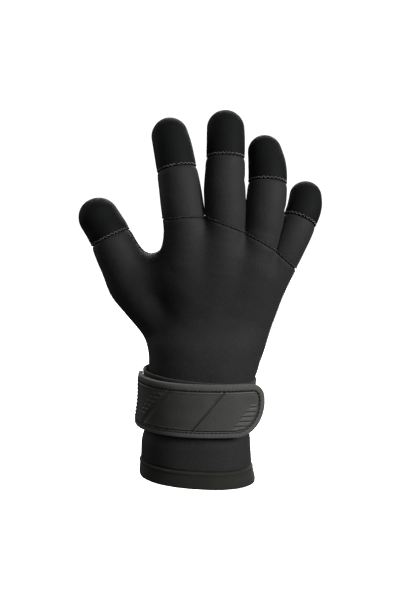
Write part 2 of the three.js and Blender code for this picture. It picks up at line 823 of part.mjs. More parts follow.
// A ring of four-cornered sections, whose corners are given for each turn round the wrist
function ringOf(cornersAt) {
  const positions = [];
  for (let i = 0; i < ROUND_STEPS; i += 1) {
    for (const corner of cornersAt((2 * Math.PI * i) / ROUND_STEPS)) {
      positions.push(corner.x, corner.y, corner.z);
    }
  }
  return manifoldOf(positions, loopIndices(ROUND_STEPS, true));
}

// The under band's inside at a turn round the wrist, moved out where the hand's form swells past the
// cuff's own section between two heights
function bandInside(section, angle, from, to) {
  const at = ovalPoint(section, angle);
  const out = at.clone().normalize();
  for (let height = from; height <= to; height += LEVEL_STEP) {
    const probe = at.clone().setZ(height + BAND_SLOPE * at.x);
    at.addScaledVector(out, Math.max(0, BAND_CLEARANCE - gloveDistance(probe)));
  }
  return at;
}

function underBand() {
  return ringOf((angle) => {
    const foot = bandInside(bandFoot, angle, bandLow, BAND_LEVEL);
    const head = bandInside(bandHead, angle, BAND_LEVEL, bandHigh);
    const corner = (inside, away, level) => {
      const at = inside.clone().addScaledVector(inside.clone().normalize(), away);
      return at.setZ(level + BAND_SLOPE * at.x);
    };
    return [
      corner(foot, 0, bandLow),
      corner(foot, BAND_THICKNESS, bandLow),
      corner(head, BAND_THICKNESS, bandHigh),
      corner(head, 0, bandHigh),
    ];
  });
}

// The hem's band, between the slanted opening and the seam above it
function hemBand() {
  const tilt = Math.tan(THREE.MathUtils.degToRad(OPENING_SLANT));
  const rise = HEM_HEIGHT / openingNormal.z;
  return ringOf((angle) => {
    const corner = (away, lift) => {
      const height = lift - tilt * ovalPoint(cuffSection(lift), angle).x;
      const at = ovalPoint(grownSection(cuffSection(height), away), angle);
      return at.setZ(lift - tilt * at.x);
    };
    return [corner(-WALL, 0), corner(HEM_PROUD, 0), corner(HEM_PROUD, rise), corner(-WALL, rise)];
  });
}

// The strap's route in plan: from its anchor on the palm side, round the left and across the front,
// then off the wrist along a wide arc to its free end
function strapRoute() {
  const points = [];
  const start = THREE.MathUtils.degToRad(STRAP_ANCHOR_TURN);
  for (let i = 0; i <= ROUTE_STEPS; i += 1) {
    const point = ovalPoint(strapInside, start + (2 * Math.PI * i) / ROUTE_STEPS);
    if (point.x > TAIL_START) break;
    points.push(point);
  }
  const leave = points.at(-1);
  const heading = leave.clone().sub(points.at(-2)).normalize();
  const side = new THREE.Vector3(-heading.y, heading.x, 0);
  for (let i = 1; i <= TAIL_STEPS; i += 1) {
    const turn = (TAIL_LENGTH * i) / TAIL_STEPS / TAIL_RADIUS;
    points.push(
      leave
        .clone()
        .addScaledVector(heading, TAIL_RADIUS * Math.sin(turn))
        .addScaledVector(side, TAIL_RADIUS * (1 - Math.cos(turn))),
    );
  }
  return new THREE.CatmullRomCurve3(points);
}

const route = strapRoute();
const strapLength = route.getLength();

// The free end's corners: how far back along the strap and how far from its edge each one is rounded
const TOP_CORNER = { along: 9.5, across: 12 };
const BOTTOM_CORNER = { along: 23, across: 27 };

// The strap's edge at a distance from its start, moved in by an inset
function strapEdge(corner, at, inset) {
  const along = Math.max(corner.along - inset, 0.5);
  const past = THREE.MathUtils.clamp((at - (strapLength - corner.along)) / along, 0, 1);
  return STRAP_HEIGHT / 2 - inset - (corner.across - inset) * (1 - Math.sqrt(1 - past * past));
}

// The distances where every layer of the strap has its sections, closer together round the free end
const strapSteps = [];
for (let at = 0; at < strapLength - BOTTOM_CORNER.along; at += STRAP_STEP) strapSteps.push(at);
for (let i = 0; i <= END_STEPS; i += 1) {
  const turn = (Math.PI / 2) * (i / END_STEPS);
  strapSteps.push(strapLength - BOTTOM_CORNER.along * (1 - Math.sin(turn)));
}

const strapSections = strapSteps.map((at) => {
  const ahead = route.getTangentAt(at / strapLength);
  return { at, foot: route.getPointAt(at / strapLength), normal: new THREE.Vector3(ahead.y, -ahead.x, 0) };
});

// A section between the strap's own ones, straight across, so that its layers keep their distances
function strapStation(at, low, high) {
  const found = strapSections.findLastIndex((section) => section.at <= at);
  const i = THREE.MathUtils.clamp(found, 0, strapSections.length - 2);
  const before = strapSections[i];
  const after = strapSections[i + 1];
  const share = (at - before.at) / (after.at - before.at);
  const foot = before.foot.clone().lerp(after.foot, share);
  foot.z = STRAP_LEVEL + STRAP_SLOPE * foot.x;
  const normal = before.normal.clone().lerp(after.normal, share);
  const flare = STRAP_FLARE * Math.max(0, 1 - Math.max(at, 0) / FLARE_LENGTH) ** 2;
  return { foot, normal, low: low(at), high: high(at), flare };
}

function strapStations(from, to, low, high) {
  const between = strapSteps.filter((at) => at > from + 0.2 && at < to - 0.2);
  return [from, ...between, to].map((at) => strapStation(at, low, high));
}

// The whole strap's outline moved in by an inset, between two distances from its inside
function strapPlate(inset, from, to, start = 0) {
  const low = (at) => -strapEdge(BOTTOM_CORNER, at, inset);
  const high = (at) => strapEdge(TOP_CORNER, at, inset);
  return strip(strapStations(start, strapLength - inset, low, high), from, to);
}

const faceFoot = BACKING_THICKNESS + SEAM_GAP;
const bindingTop = faceFoot + BINDING_THICKNESS;

function strapBacking() {
  return strapPlate(BINDING_THICKNESS + SEAM_GAP, 0, BACKING_THICKNESS);
}

// The tape folded over the strap's edge: a rim round the backing and a border on its front
function strapBinding() {
  const whole = strapPlate(0, 0, bindingTop);
  const room = strapPlate(BINDING_THICKNESS, -1, faceFoot, -1);
  const window = strapPlate(BINDING_WIDTH, -2, bindingTop + 1, -1);
  return whole.subtract(room).subtract(window);
}

// A slanted bar across the strap's face, by its upper end's distance from the free end
function slantedBar(fromEnd, width, from, to) {
  const reach = STRAP_HEIGHT / 2 - BINDING_WIDTH - 1;
  const end = strapLength - fromEnd;
  const start = end - 2 * reach * RELIEF_SLANT;
  const middle = (at) => -reach + (2 * reach * (at - start)) / (end - start);
  const half = (width / 2) * Math.hypot(1, 1 / RELIEF_SLANT);
  const stations = strapStations(start, end, (at) => middle(at) - half, (at) => middle(at) + half);
  return strip(stations, from, to);
}

// Where the face's rounded lower edge rises to a rib's level
function faceEnd(level, inset) {
  const rise = STRAP_HEIGHT / 2 - inset + level - RIB_WIDTH / 2;
  const share = THREE.MathUtils.clamp(rise / (BOTTOM_CORNER.across - inset), 0, 1);
  const past = Math.sqrt(1 - (1 - share) ** 2);
  return strapLength - BOTTOM_CORNER.along + past * (BOTTOM_CORNER.along - inset);
}

// One short rib along the strap, between two distances from its start
function rib(start, end, level, top) {
  const low = () => level - RIB_WIDTH / 2;
  const high = () => level + RIB_WIDTH / 2;
  return strip(strapStations(start, end, low, high), top - RIB_HEIGHT / 2, top + RIB_HEIGHT);
}

// The moulded face inside the binding, with its groove and its fans of ribs
function strapFace() {
  const top = faceFoot + FACE_THICKNESS;
  const inset = BINDING_WIDTH + SEAM_GAP;
  let face = strapPlate(inset, faceFoot, top);
  face = face.subtract(slantedBar(GROOVE_FROM_END, GROOVE_WIDTH, top - GROOVE_DEPTH, top + 1));
  for (let i = 0; i < RIB_COUNT; i += 1) {
    const level = END_FAN_TOP - i * RIB_PITCH;
    const start = strapLength - END_FAN_FROM_END + RELIEF_SLANT * level;
    const end = Math.min(start + END_FAN_REACH, faceEnd(level, inset) - END_FAN_MARGIN);
    face = face.add(rib(start, end, level, top));
  }
  for (let i = 0; i < RIB_COUNT; i += 1) {
    const level = START_FAN_TOP - i * RIB_PITCH;
    const end = START_FAN_FROM_START + RELIEF_SLANT * level;
    face = face.add(rib(end - START_FAN_REACH, end, level, top));
  }
  return face;
}

const matt = (name, color, roughness) => new THREE.MeshStandardMaterial({ name, color, roughness });
const jersey = matt('black_nylon_jersey_neoprene', 0x262626, 0.9);
const gripJersey = matt('black_grip_neoprene', 0x151918, 0.9);
const hemJersey = matt('charcoal_hem_tape', 0x2a2a26, 0.9);
const bandWeb = matt('black_elastic_webbing', 0x1c1d1b, 0.85);
const moulded = matt('grey_moulded_rubber', 0x4a4b46, 0.6);
const tape = matt('grey_binding_tape', 0x50514c, 0.9);

const glove = new THREE.Group();
glove.name = 'diving_glove';

function place(name, solid, material) {
  const mesh = new THREE.Mesh(geometryOf(solid), material);
  mesh.name = name;
  glove.add(mesh);
}

const hand = splitAtTip(palmShell().intersect(belowSeam).intersect(overHemSeam), 'thumb').lower;
place('back_panel', hand.intersect(backHalf), jersey);
place('palm_panel', hand.intersect(palmHalf), jersey);
place('thumb_tip', splitAtTip(thumbShell(), 'thumb').tip, gripJersey);
for (const name of ['index', 'middle', 'ring', 'little']) {
  const { lower, tip } = splitAtTip(fingerShell(name), name);
  place(`${name}_sleeve`, lower, jersey);
  place(`${name}_tip`, tip, gripJersey);
}
place('hem_band', hemBand(), hemJersey);
place('under_band', underBand(), bandWeb);
place('strap_backing', strapBacking(), bandWeb);
place('strap_face', strapFace(), moulded);
place('strap_binding', strapBinding(), tape);

export default glove;
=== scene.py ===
"""Looks of a foam neoprene diving glove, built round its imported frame.

Millimetres in the tables and functions, metres in Blender. +Z up the hand, -Y out of its back,
the thumb towards -X. The origin is the middle of the cuff's opening.
"""

import math

import bmesh
import bpy
import numpy as np
from bpy.props import FloatProperty, FloatVectorProperty, IntProperty, PointerProperty
from mathutils import Matrix, Vector


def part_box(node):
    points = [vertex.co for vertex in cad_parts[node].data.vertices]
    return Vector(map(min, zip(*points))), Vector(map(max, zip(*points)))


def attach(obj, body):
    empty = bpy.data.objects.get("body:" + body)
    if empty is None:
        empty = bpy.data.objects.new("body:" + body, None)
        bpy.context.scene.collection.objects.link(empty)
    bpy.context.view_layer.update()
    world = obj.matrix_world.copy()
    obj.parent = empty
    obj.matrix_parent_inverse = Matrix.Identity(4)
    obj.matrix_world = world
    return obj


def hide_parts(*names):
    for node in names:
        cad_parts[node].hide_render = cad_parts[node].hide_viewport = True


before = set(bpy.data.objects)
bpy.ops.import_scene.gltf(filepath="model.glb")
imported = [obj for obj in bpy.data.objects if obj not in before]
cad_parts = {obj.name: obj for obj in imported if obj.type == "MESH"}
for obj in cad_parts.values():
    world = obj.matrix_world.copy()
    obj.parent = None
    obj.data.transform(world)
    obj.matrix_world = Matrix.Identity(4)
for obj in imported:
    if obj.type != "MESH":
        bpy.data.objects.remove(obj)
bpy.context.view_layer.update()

bl_info = {
    "name": "Diving Glove",
    "version": (1, 0, 0),
    "blender": (4, 5, 0),
    "location": "View3D > Sidebar > Glove",
    "description": "Builds the looks of a foam neoprene diving glove with a wrist strap",
    "category": "Object",
}

MM = 0.001
UP = np.array([0.0, 0, 1])

# What the looks add to the frame's form
WALE = 1.1  # a drawn column of the knit
SEAM_PRESS = 0.03  # sewn panels reach this far into each other
WAIST_REACH = 2.6  # half the length over which a tip seam draws in
FINGER_ROUND = 1.2  # between neighbouring fingers
INNER_ROUND = 0.6  # round the hollow
CUFF_FADE = 0.016  # the cuff's core shrinks above CUFF_FADE_FROM
CUFF_FADE_FROM = 98.0
CURVE_STEPS = 8
POINTS_AT_ONCE = 6000
FAR = 50.0
THUMB_REACH = 12.0
HEM_CLEARANCE = 0.05
HEM_WAVE = 0.22
BACKING_FOOT = -0.35  # the backing reaches in nearly to the elastic ring
BINDING_STEPS = 420
TIP_STITCH = 1.15  # how far past its seam each row of stitches runs
KNUCKLE_STITCH = 1.0
SIDE_STITCH = 1.1
STRAP_STITCH_INSET = 4.3
STRAP_STITCH_TOP = 3.0
WRIST_RADIUS = 40.0  # that the tapes' weave is laid out on

# The hand's sizes, as in the frame
WALL = 4.0
SEAM_GAP = 0.3
PALM_WIDTH = 97.0
PALM_LENGTH = 110.0
PALM_THICKNESS = 40.0
WRIST_HEIGHT = 86.0
CUFF_WIDTH = 86.0
CUFF_DEPTH = 70.0
CUFF_SQUARENESS = 2.2
OPENING_SLANT = math.radians(3.8)
HEM_HEIGHT = 12.5

# The wrist's bands
BAND_LEVEL = 62.0
BAND_HEIGHT = 38.0
BAND_SLOPE = -0.1
BAND_STAND_OFF = 2.8
BAND_THICKNESS = 1.6
BAND_CLEARANCE = 0.4
STRAP_LEVEL = 60.0
STRAP_HEIGHT = 40.5
STRAP_SLOPE = -0.035
STRAP_CLEARANCE = 0.5
BACKING_THICKNESS = 1.8
FACE_THICKNESS = 1.0
BINDING_WIDTH = 5.0
BINDING_THICKNESS = 0.9
FACE_FOOT = BACKING_THICKNESS + SEAM_GAP
FACE_INSET = BINDING_WIDTH + SEAM_GAP
BACKING_INSET = BINDING_THICKNESS + SEAM_GAP
TAIL_START = 12.0
TAIL_LENGTH = 39.8
TAIL_RADIUS = 120.0
STRAP_ANCHOR_TURN = math.radians(174)
STRAP_FLARE = 1.6
FLARE_LENGTH = 14.0
STRAP_LEAN = 2.0
LEAN_LENGTH = 15.0
TOP_CORNER = (9.5, 12.0)
BOTTOM_CORNER = (23.0, 27.0)
RELIEF_SLANT = 0.8
GROOVE_FROM_END = 32.5
RIB_COUNT = 6
RIB_PITCH = 3.6
RIB_WIDTH = 1.3
END_FAN_FROM_END = 15.8
END_FAN_TOP = 4.0
END_FAN_REACH = 9.5
END_FAN_MARGIN = 1.5
START_FAN_FROM_START = 28.4
START_FAN_TOP = 11.0
START_FAN_REACH = 7.0

# Each digit: length, width, lean in degrees, tip panel's length, then its core's rows.
# In the palm: across, depth, up, girth, as shares of the palm's width, thickness, length, thickness.
# In the digit: along, aside, curl as shares of its length, and girth of its width.
DIGITS = {
    "index": {
        "size": (82, 30.6, -10, 39),
        "palm": [(-0.04, 0.1, 0.18, 0.98), (-0.055, 0.025, 0.46, 0.99), (-0.073, -0.05, 0.73, 0.94)],
        "knuckle": (-0.087, 0.96),
        "digit": [
            (0, 0, -0.01, 1.08), (0.29, 0.008, 0.025, 1.03), (0.54, 0.012, 0.1, 0.98),
            (0.715, 0.01, 0.17, 0.95), (0.825, 0, 0.23, 0.9),
        ],
    },
    "middle": {
        "size": (81.7, 29.5, 0, 35),
        "palm": [(0.08, 0.1, 0.14, 1.02), (0.125, 0.025, 0.46, 1.01), (0.177, -0.075, 0.745, 0.91)],
        "knuckle": (0.214, 1),
        "digit": [
            (0, 0, -0.025, 1.07), (0.29, 0, 0.025, 1.05), (0.58, 0.005, 0.11, 0.98), (0.73, 0.006, 0.17, 0.97),
            (0.83, 0.006, 0.22, 0.95),
        ],
    },
    "ring": {
        "size": (70, 29, 3, 36),
        "palm": [(0.196, 0.1, 0.106, 1.02), (0.319, 0.05, 0.426, 0.94), (0.431, -0.025, 0.73, 0.82)],
        "knuckle": (0.5, 0.946),
        "digit": [
            (0, 0, 0, 0.985), (0.29, 0.025, 0.057, 1.04), (0.56, 0.03, 0.157, 1), (0.69, 0.017, 0.23, 0.97),
            (0.8, -0.006, 0.3, 0.88),
        ],
    },
    "little": {
        "size": (60, 26.5, 24, 29),
        "palm": [(0.26, 0.125, 0.07, 0.98), (0.41, 0.1, 0.317, 0.83), (0.523, 0.075, 0.543, 0.73)],
        "knuckle": (0.637, 0.75),
        "digit": [
            (0, 0.02, 0.05, 1.02), (0.33, 0.042, 0.1, 1), (0.6, 0.046, 0.2, 0.98), (0.72, 0.034, 0.27, 0.97),
            (0.8, 0.01, 0.33, 0.92),
        ],
    },
    "thumb": {
        "size": (86.5, 32, -30, 33),
        "palm": [(-0.086, 0.2, 0.134, 1.02), (-0.25, 0.25, 0.293, 0.93)],
        "knuckle": (-0.398, 0.445),
        "digit": [
            (0, 0, 0.127, 1.14), (0.23, -0.014, 0.14, 1.1), (0.446, -0.008, 0.162, 1.06),
            (0.64, 0.006, 0.197, 0.99), (0.74, 0.003, 0.23, 0.97), (0.82, -0.003, 0.254, 0.965),
        ],
    },
}
FINGERS = ("index", "middle", "ring", "little")
WEB = [(-0.538, 0.325, 0.546, 0.53), (-0.365, 0.225, 0.61, 0.755), (-0.193, 0.075, 0.64, 0.825)]

# The cuff's rows: up as a share of the wrist's height, left, right of its width, front, back of its depth
CUFF_SECTIONS = np.array(
    [
        (-0.05, -0.506, 0.51, -0.497, 0.5), (0.15, -0.5, 0.479, -0.48, 0.484),
        (0.33, -0.493, 0.469, -0.464, 0.464), (0.49, -0.452, 0.457, -0.436, 0.436),
        (0.72, -0.419, 0.465, -0.414, 0.421), (1, -0.42, 0.497, -0.4, 0.429),
        (1.21, -0.405, 0.525, -0.371, 0.421), (1.4, -0.35, 0.53, -0.329, 0.4),
    ]
)
KNUCKLE_SEAM = np.array(
    [
        (-0.36, 1.005), (-0.16, 1.04), (-0.05, 1.05), (0.09, 1.035), (0.235, 0.992), (0.37, 0.935),
        (0.57, 0.834), (0.83, 0.62),
    ]
)
SIDE_SEAM = np.array([(-2, 1.3), (-0.1, 0.06), (2, 0.06)])

BLEND_PALM = 4.6
BLEND_FINGER = 0.7
BLEND_ABOVE = 6.0
BLEND_BELOW = 20.0


def linear(code):
    """An sRGB hex colour as linear red, green, blue and alpha."""
    parts = [int(code[i : i + 2], 16) / 255 for i in (0, 2, 4)]
    return tuple(c / 12.92 if c <= 0.04045 else ((c + 0.055) / 1.055) ** 2.4 for c in parts) + (1.0,)


def length_property(name, description, millimetres):
    """A length that the panel offers."""
    return FloatProperty(name=name, description=description, default=millimetres * MM, unit="LENGTH")


def colour_property(name, description, code):
    """A colour that the panel offers."""
    return FloatVectorProperty(name=name, description=description, size=4, subtype="COLOR", default=linear(code))


class GloveSizes(bpy.types.PropertyGroup):
    """Sizes of the glove's surface work."""

    panel_cell: length_property("Panel mesh", "Mesh cell of the panels", 1.3)
    seam_round: length_property("Seam edge", "Rounding of each panel's edge", 1.9)
    seam_waist: length_property("Seam waist", "How far a tip seam draws in", 0.5)
    stitch_pitch: length_property("Stitch pitch", "Distance between seam stitches", 1.55)
    strap_pitch: length_property("Strap stitch", "Distance between the strap's stitches", 3.0)
    seed: IntProperty(name="Seed", description="Seed of the stitches' small differences", default=7)


class GloveColours(bpy.types.PropertyGroup):
    """Colours of the glove's cloths and rubber."""

    jersey: colour_property("Jersey", "Nylon jersey of the panels", "212121")
    tips: colour_property("Tips", "Close knit of the fingertips", "0b0d0c")
    hem: colour_property("Hem", "Stretch tape of the hem", "1a1a17")
    webbing: colour_property("Webbing", "Elastic webbing of the band", "181917")
    rubber: colour_property("Rubber", "Moulded face of the strap", "343531")
    binding: colour_property("Binding", "Tape round the strap", "424340")
    thread: colour_property("Seam thread", "Thread of the tip seams", "5e5f5c")
    dark_thread: colour_property("Dark thread", "Thread of the knuckle seam", "464745")
    strap_thread: colour_property("Strap thread", "Thread of the strap, the hem and the side seam", "070807")
    paper: colour_property("Paper", "Studio paper", "f4f4f4")


def smoothstep(value, low, high):
    """A smooth rise from zero to one between two values."""
    share = np.clip((value - low) / (high - low), 0, 1)
    return share**2 * (3 - 2 * share)


def unit(vectors):
    """Vectors of length one, in the same directions."""
    return vectors / np.linalg.norm(vectors, axis=-1, keepdims=True)


def run_along(line):
    """How far along a line each of its points lies."""
    return np.concatenate([[0], np.cumsum(np.linalg.norm(np.diff(line, axis=0), axis=1))])


# The hand's form


def palm_balls(rows):
    """Centres and radii of a core's balls in the palm."""
    size = np.array([PALM_WIDTH, PALM_THICKNESS, PALM_LENGTH, PALM_THICKNESS / 2])
    return np.asarray(rows, float) * size + np.array([0, 0, WRIST_HEIGHT, 0])


def digit_axes(name):
    """A digit's root, its direction and the direction aside from it."""
    lean = math.radians(DIGITS[name]["size"][2])
    across, up = DIGITS[name]["knuckle"]
    root = np.array([across * PALM_WIDTH, 0, WRIST_HEIGHT + up * PALM_LENGTH])
    return root, np.array([math.sin(lean), 0, math.cos(lean)]), np.array([math.cos(lean), 0, -math.sin(lean)])


def digit_balls(name):
    """Centres and radii of a core's balls in the digit."""
    length, width = DIGITS[name]["size"][:2]
    root, along, aside = digit_axes(name)
    balls = []
    for share, side, curl, girth in DIGITS[name]["digit"]:
        at = root + along * share * length + aside * side * length
        balls.append((at[0], curl * length, at[2], girth * width / 2))
    return np.array(balls)


def smooth_rows(rows, steps):
    """Rows on a smooth curve through the given ones."""
    rows = np.asarray(rows, float)
    padded = np.vstack([2 * rows[0] - rows[1], rows, 2 * rows[-1] - rows[-2]])
    share = np.linspace(0, 1, steps, endpoint=False)[:, None]
    curve = []
    for a, b, c, d in zip(padded, padded[1:], padded[2:], padded[3:]):
        square, cube = (2 * a - 5 * b + 4 * c - d) * share**2, (3 * b - a - 3 * c + d) * share**3
        curve.append(0.5 * (2 * b + (c - a) * share + square + cube))
    return np.vstack([*curve, rows[-1:]])


def chain_of(balls, steps=5):
    """A core's links: start, span, radius there and how it grows."""
    curve = smooth_rows(balls, steps)[:, :3]
    radius = np.interp(np.arange(len(curve)) / steps, np.arange(len(balls)), balls[:, 3])
    return curve[:-1], np.diff(curve, axis=0), radius[:-1], np.diff(radius)


CHAINS = {n: chain_of(np.vstack([palm_balls(d["palm"]), digit_balls(n)])) for n, d in DIGITS.items()}
CHAINS["web"] = chain_of(palm_balls(WEB))


def chain_distance(chain, points):
    """Distance of each point to a core's skin."""
    start, span, radius, growth = chain
    square = (span**2).sum(1)
    result = np.empty(len(points))
    for low in range(0, len(points), POINTS_AT_ONCE):
        away = points[low : low + POINTS_AT_ONCE, None, :] - start
        share = np.clip((away * span).sum(2) / square, 0, 1)
        gap = np.sqrt(((away - share[..., None] * span) ** 2).sum(2))
        result[low : low + POINTS_AT_ONCE] = (gap - radius - share * growth).min(1)
    return result


def cuff_section(height):
    """Left, right, front and back of the cuff at each height."""
    rows = CUFF_SECTIONS
    up = np.clip(np.asarray(height, float) / WRIST_HEIGHT, rows[0, 0], rows[-1, 0])
    i = np.clip(np.searchsorted(rows[:, 0], up, side="right") - 1, 0, len(rows) - 2)
    straight = (up - rows[i, 0]) / (rows[i + 1, 0] - rows[i, 0])
    share = (straight + straight**2 * (3 - 2 * straight)) / 2
    sides = rows[i, 1:] + (rows[i + 1, 1:] - rows[i, 1:]) * share[..., None]
    return sides * np.array([CUFF_WIDTH, CUFF_WIDTH, CUFF_DEPTH, CUFF_DEPTH])


def cuff_distance(points):
    """Distance of each point to the cuff's skin."""
    left, right, front, back = cuff_section(points[:, 2]).T
    half_width = (right - left) / 2
    half_depth = (back - front) / 2
    u = np.abs(points[:, 0] - (left + right) / 2) / half_width + 1e-6
    v = np.abs(points[:, 1] - (front + back) / 2) / half_depth + 1e-6
    n = CUFF_SQUARENESS
    reach = (u**n + v**n) ** (1 / n)
    slope = np.hypot((u / reach) ** (n - 1) / half_width, (v / reach) ** (n - 1) / half_depth)
    side = (reach - 1) / slope
    over = points[:, 2] - CUFF_SECTIONS[-1, 0] * WRIST_HEIGHT
    side = side + CUFF_FADE * np.maximum(points[:, 2] - CUFF_FADE_FROM, 0) ** 2
    return np.where(over > 0, np.hypot(np.maximum(side, 0), over), np.maximum(side, over))


KNUCKLES = smooth_rows(KNUCKLE_SEAM * [PALM_WIDTH, PALM_LENGTH] + [0, WRIST_HEIGHT], CURVE_STEPS)


def above_knuckles(points):
    """How far each point lies above the seam below the fingers."""
    x = np.clip(points[:, 0], KNUCKLES[0, 0], KNUCKLES[-1, 0])
    level = np.interp(x, KNUCKLES[:, 0], KNUCKLES[:, 1])
    slope = (np.interp(x + 1, KNUCKLES[:, 0], KNUCKLES[:, 1]) - level) * (x < KNUCKLES[-1, 0] - 1)
    return (points[:, 2] - level) / np.hypot(1, slope)


def behind_side_seam(points):
    """How far each point lies on the palm's side of the seam along the hand's sides."""
    line = SIDE_SEAM * [PALM_WIDTH, PALM_THICKNESS]
    level = np.interp(points[:, 0], line[:, 0], line[:, 1])
    slope = np.where(points[:, 0] < line[1, 0], (line[1, 1] - line[0, 1]) / (line[1, 0] - line[0, 0]), 0)
    return (points[:, 1] - level) / np.hypot(1, slope)


OPENING_NORMAL = np.array([math.sin(OPENING_SLANT), 0, math.cos(OPENING_SLANT)])


def over_opening(points):
    """How far each point lies above the cuff's opening."""
    return points @ OPENING_NORMAL


def tip_seam(name):
    """A point on a digit's core at its tip seam, and the core's direction there."""
    size = DIGITS[name]["size"]
    seam = size[0] - size[3]
    core = smooth_rows(digit_balls(name), CURVE_STEPS)[:, :3]
    reached = (core - core[0]) @ digit_axes(name)[1]
    i = int(np.argmax(reached >= seam))
    share = (seam - reached[i - 1]) / (reached[i] - reached[i - 1])
    normal = core[i] - core[i - 1]
    return core[i - 1] + share * normal, unit(normal)


TIP_SEAMS = {name: tip_seam(name) for name in DIGITS}


def past_tip_seam(name, points):
    """How far each point lies beyond a digit's tip seam."""
    at, normal = TIP_SEAMS[name]
    return (points - at) @ normal


def hand_distance(points, waist=0.0):
    """Distance of each point to the hand's outside, drawn in a little at the tip seams."""
    gaps = {n: chain_distance(chain, points) for n, chain in CHAINS.items()}
    every = np.stack([*gaps.values(), cuff_distance(points)])
    palm = smoothstep(-above_knuckles(points), -BLEND_ABOVE, BLEND_BELOW)
    blend = BLEND_FINGER + (BLEND_PALM - BLEND_FINGER) * palm
    nearest = every.min(0)
    result = nearest - blend * np.log(np.exp((nearest - every) / blend).sum(0))
    if waist:
        for name in DIGITS:
            near = np.exp(-((past_tip_seam(name, points) / WAIST_REACH) ** 2)) * (gaps[name] < 6)
            result = result + waist * near
    return result, gaps


def past_halfway(name, gaps):
    """How far each point lies past the surface halfway between a digit and its neighbours."""
    others = np.min([gap for key, gap in gaps.items() if key != name], axis=0)
    return (gaps[name] - others) / 2


def soft_max(one, other, radius):
    """The larger of two distances, with the edge between them rounded."""
    near = np.maximum(radius - np.abs(one - other), 0)
    return np.maximum(one, other) + near**2 / (4 * radius)


def undulation(points):
    """The slow unevenness of foam cloth over a hand."""
    x, y, z = points.T
    slow = np.sin(x / 9.5 + 1.3 * np.sin(z / 17)) * np.sin(z / 13 + 0.6 * np.sin(y / 8))
    return 0.24 * slow + 0.07 * np.sin(x / 4.1 + z / 5.3) * np.sin(z / 6.7 - y / 5.9)


def panel_distance(node, points, sizes):
    """Distance of each point to one of the foam panels, its edges rounded where it is sewn."""
    skin, gaps = hand_distance(points, sizes.seam_waist / MM)
    skin = skin + undulation(points)
    hollow = skin + WALL
    name, part = node.split("_")
    if part == "panel":
        side = behind_side_seam(points)
        near_thumb = gaps["thumb"] - np.minimum(gaps["index"], gaps["web"]) < THUMB_REACH
        cuts = [
            (side if name == "back" else -side) - SEAM_PRESS,
            above_knuckles(points) - SEAM_PRESS,
            HEM_HEIGHT + HEM_CLEARANCE - over_opening(points),
            np.where(near_thumb, past_tip_seam("thumb", points) - SEAM_PRESS, -FAR),
        ]
    else:
        past = past_tip_seam(name, points)
        cuts = [(past if part == "sleeve" else -past) - SEAM_PRESS]
        halfway = past_halfway(name, gaps)
        if name == "thumb":
            cuts.append(halfway - WALL)
        else:
            cuts.append(-above_knuckles(points) - SEAM_PRESS)
            skin = soft_max(skin, halfway - SEAM_PRESS, FINGER_ROUND)
            hollow = np.maximum(skin + WALL, halfway + WALL / 2)
    for edge in cuts:
        skin = soft_max(skin, edge, sizes.seam_round / MM)
    return soft_max(skin, -hollow, INNER_ROUND)


def sampled(distance, low, high, cell, coarse=4):
    """A distance on a grid, worked out near the surface only: first on each fourth point."""
    steps = np.ceil((high - low) / (cell * coarse)).astype(int) + 1
    axes = [low[a] + cell * coarse * np.arange(steps[a]) for a in range(3)]
    rough = distance(np.stack(np.meshgrid(*axes, indexing="ij"), -1).reshape(-1, 3)).reshape(steps)

    def refined(grid):
        for a in range(3):
            grid = grid.repeat(coarse, a)
        return np.pad(grid, ((0, 1),) * 3, mode="edge")

    near = np.zeros(steps - 1, bool)
    for corner in np.ndindex(2, 2, 2):
        part = rough[tuple(slice(c, c + n - 1) for c, n in zip(corner, steps))]
        near |= np.abs(part) < coarse * cell * 1.2
    values = refined(np.where(rough[:-1, :-1, :-1] < 0, -1e3, 1e3))
    wanted = refined(near)
    for a in range(3):
        wanted |= np.roll(wanted, 1, a)
    index = np.argwhere(wanted)
    values[tuple(index.T)] = distance(low + index * cell)
    return values


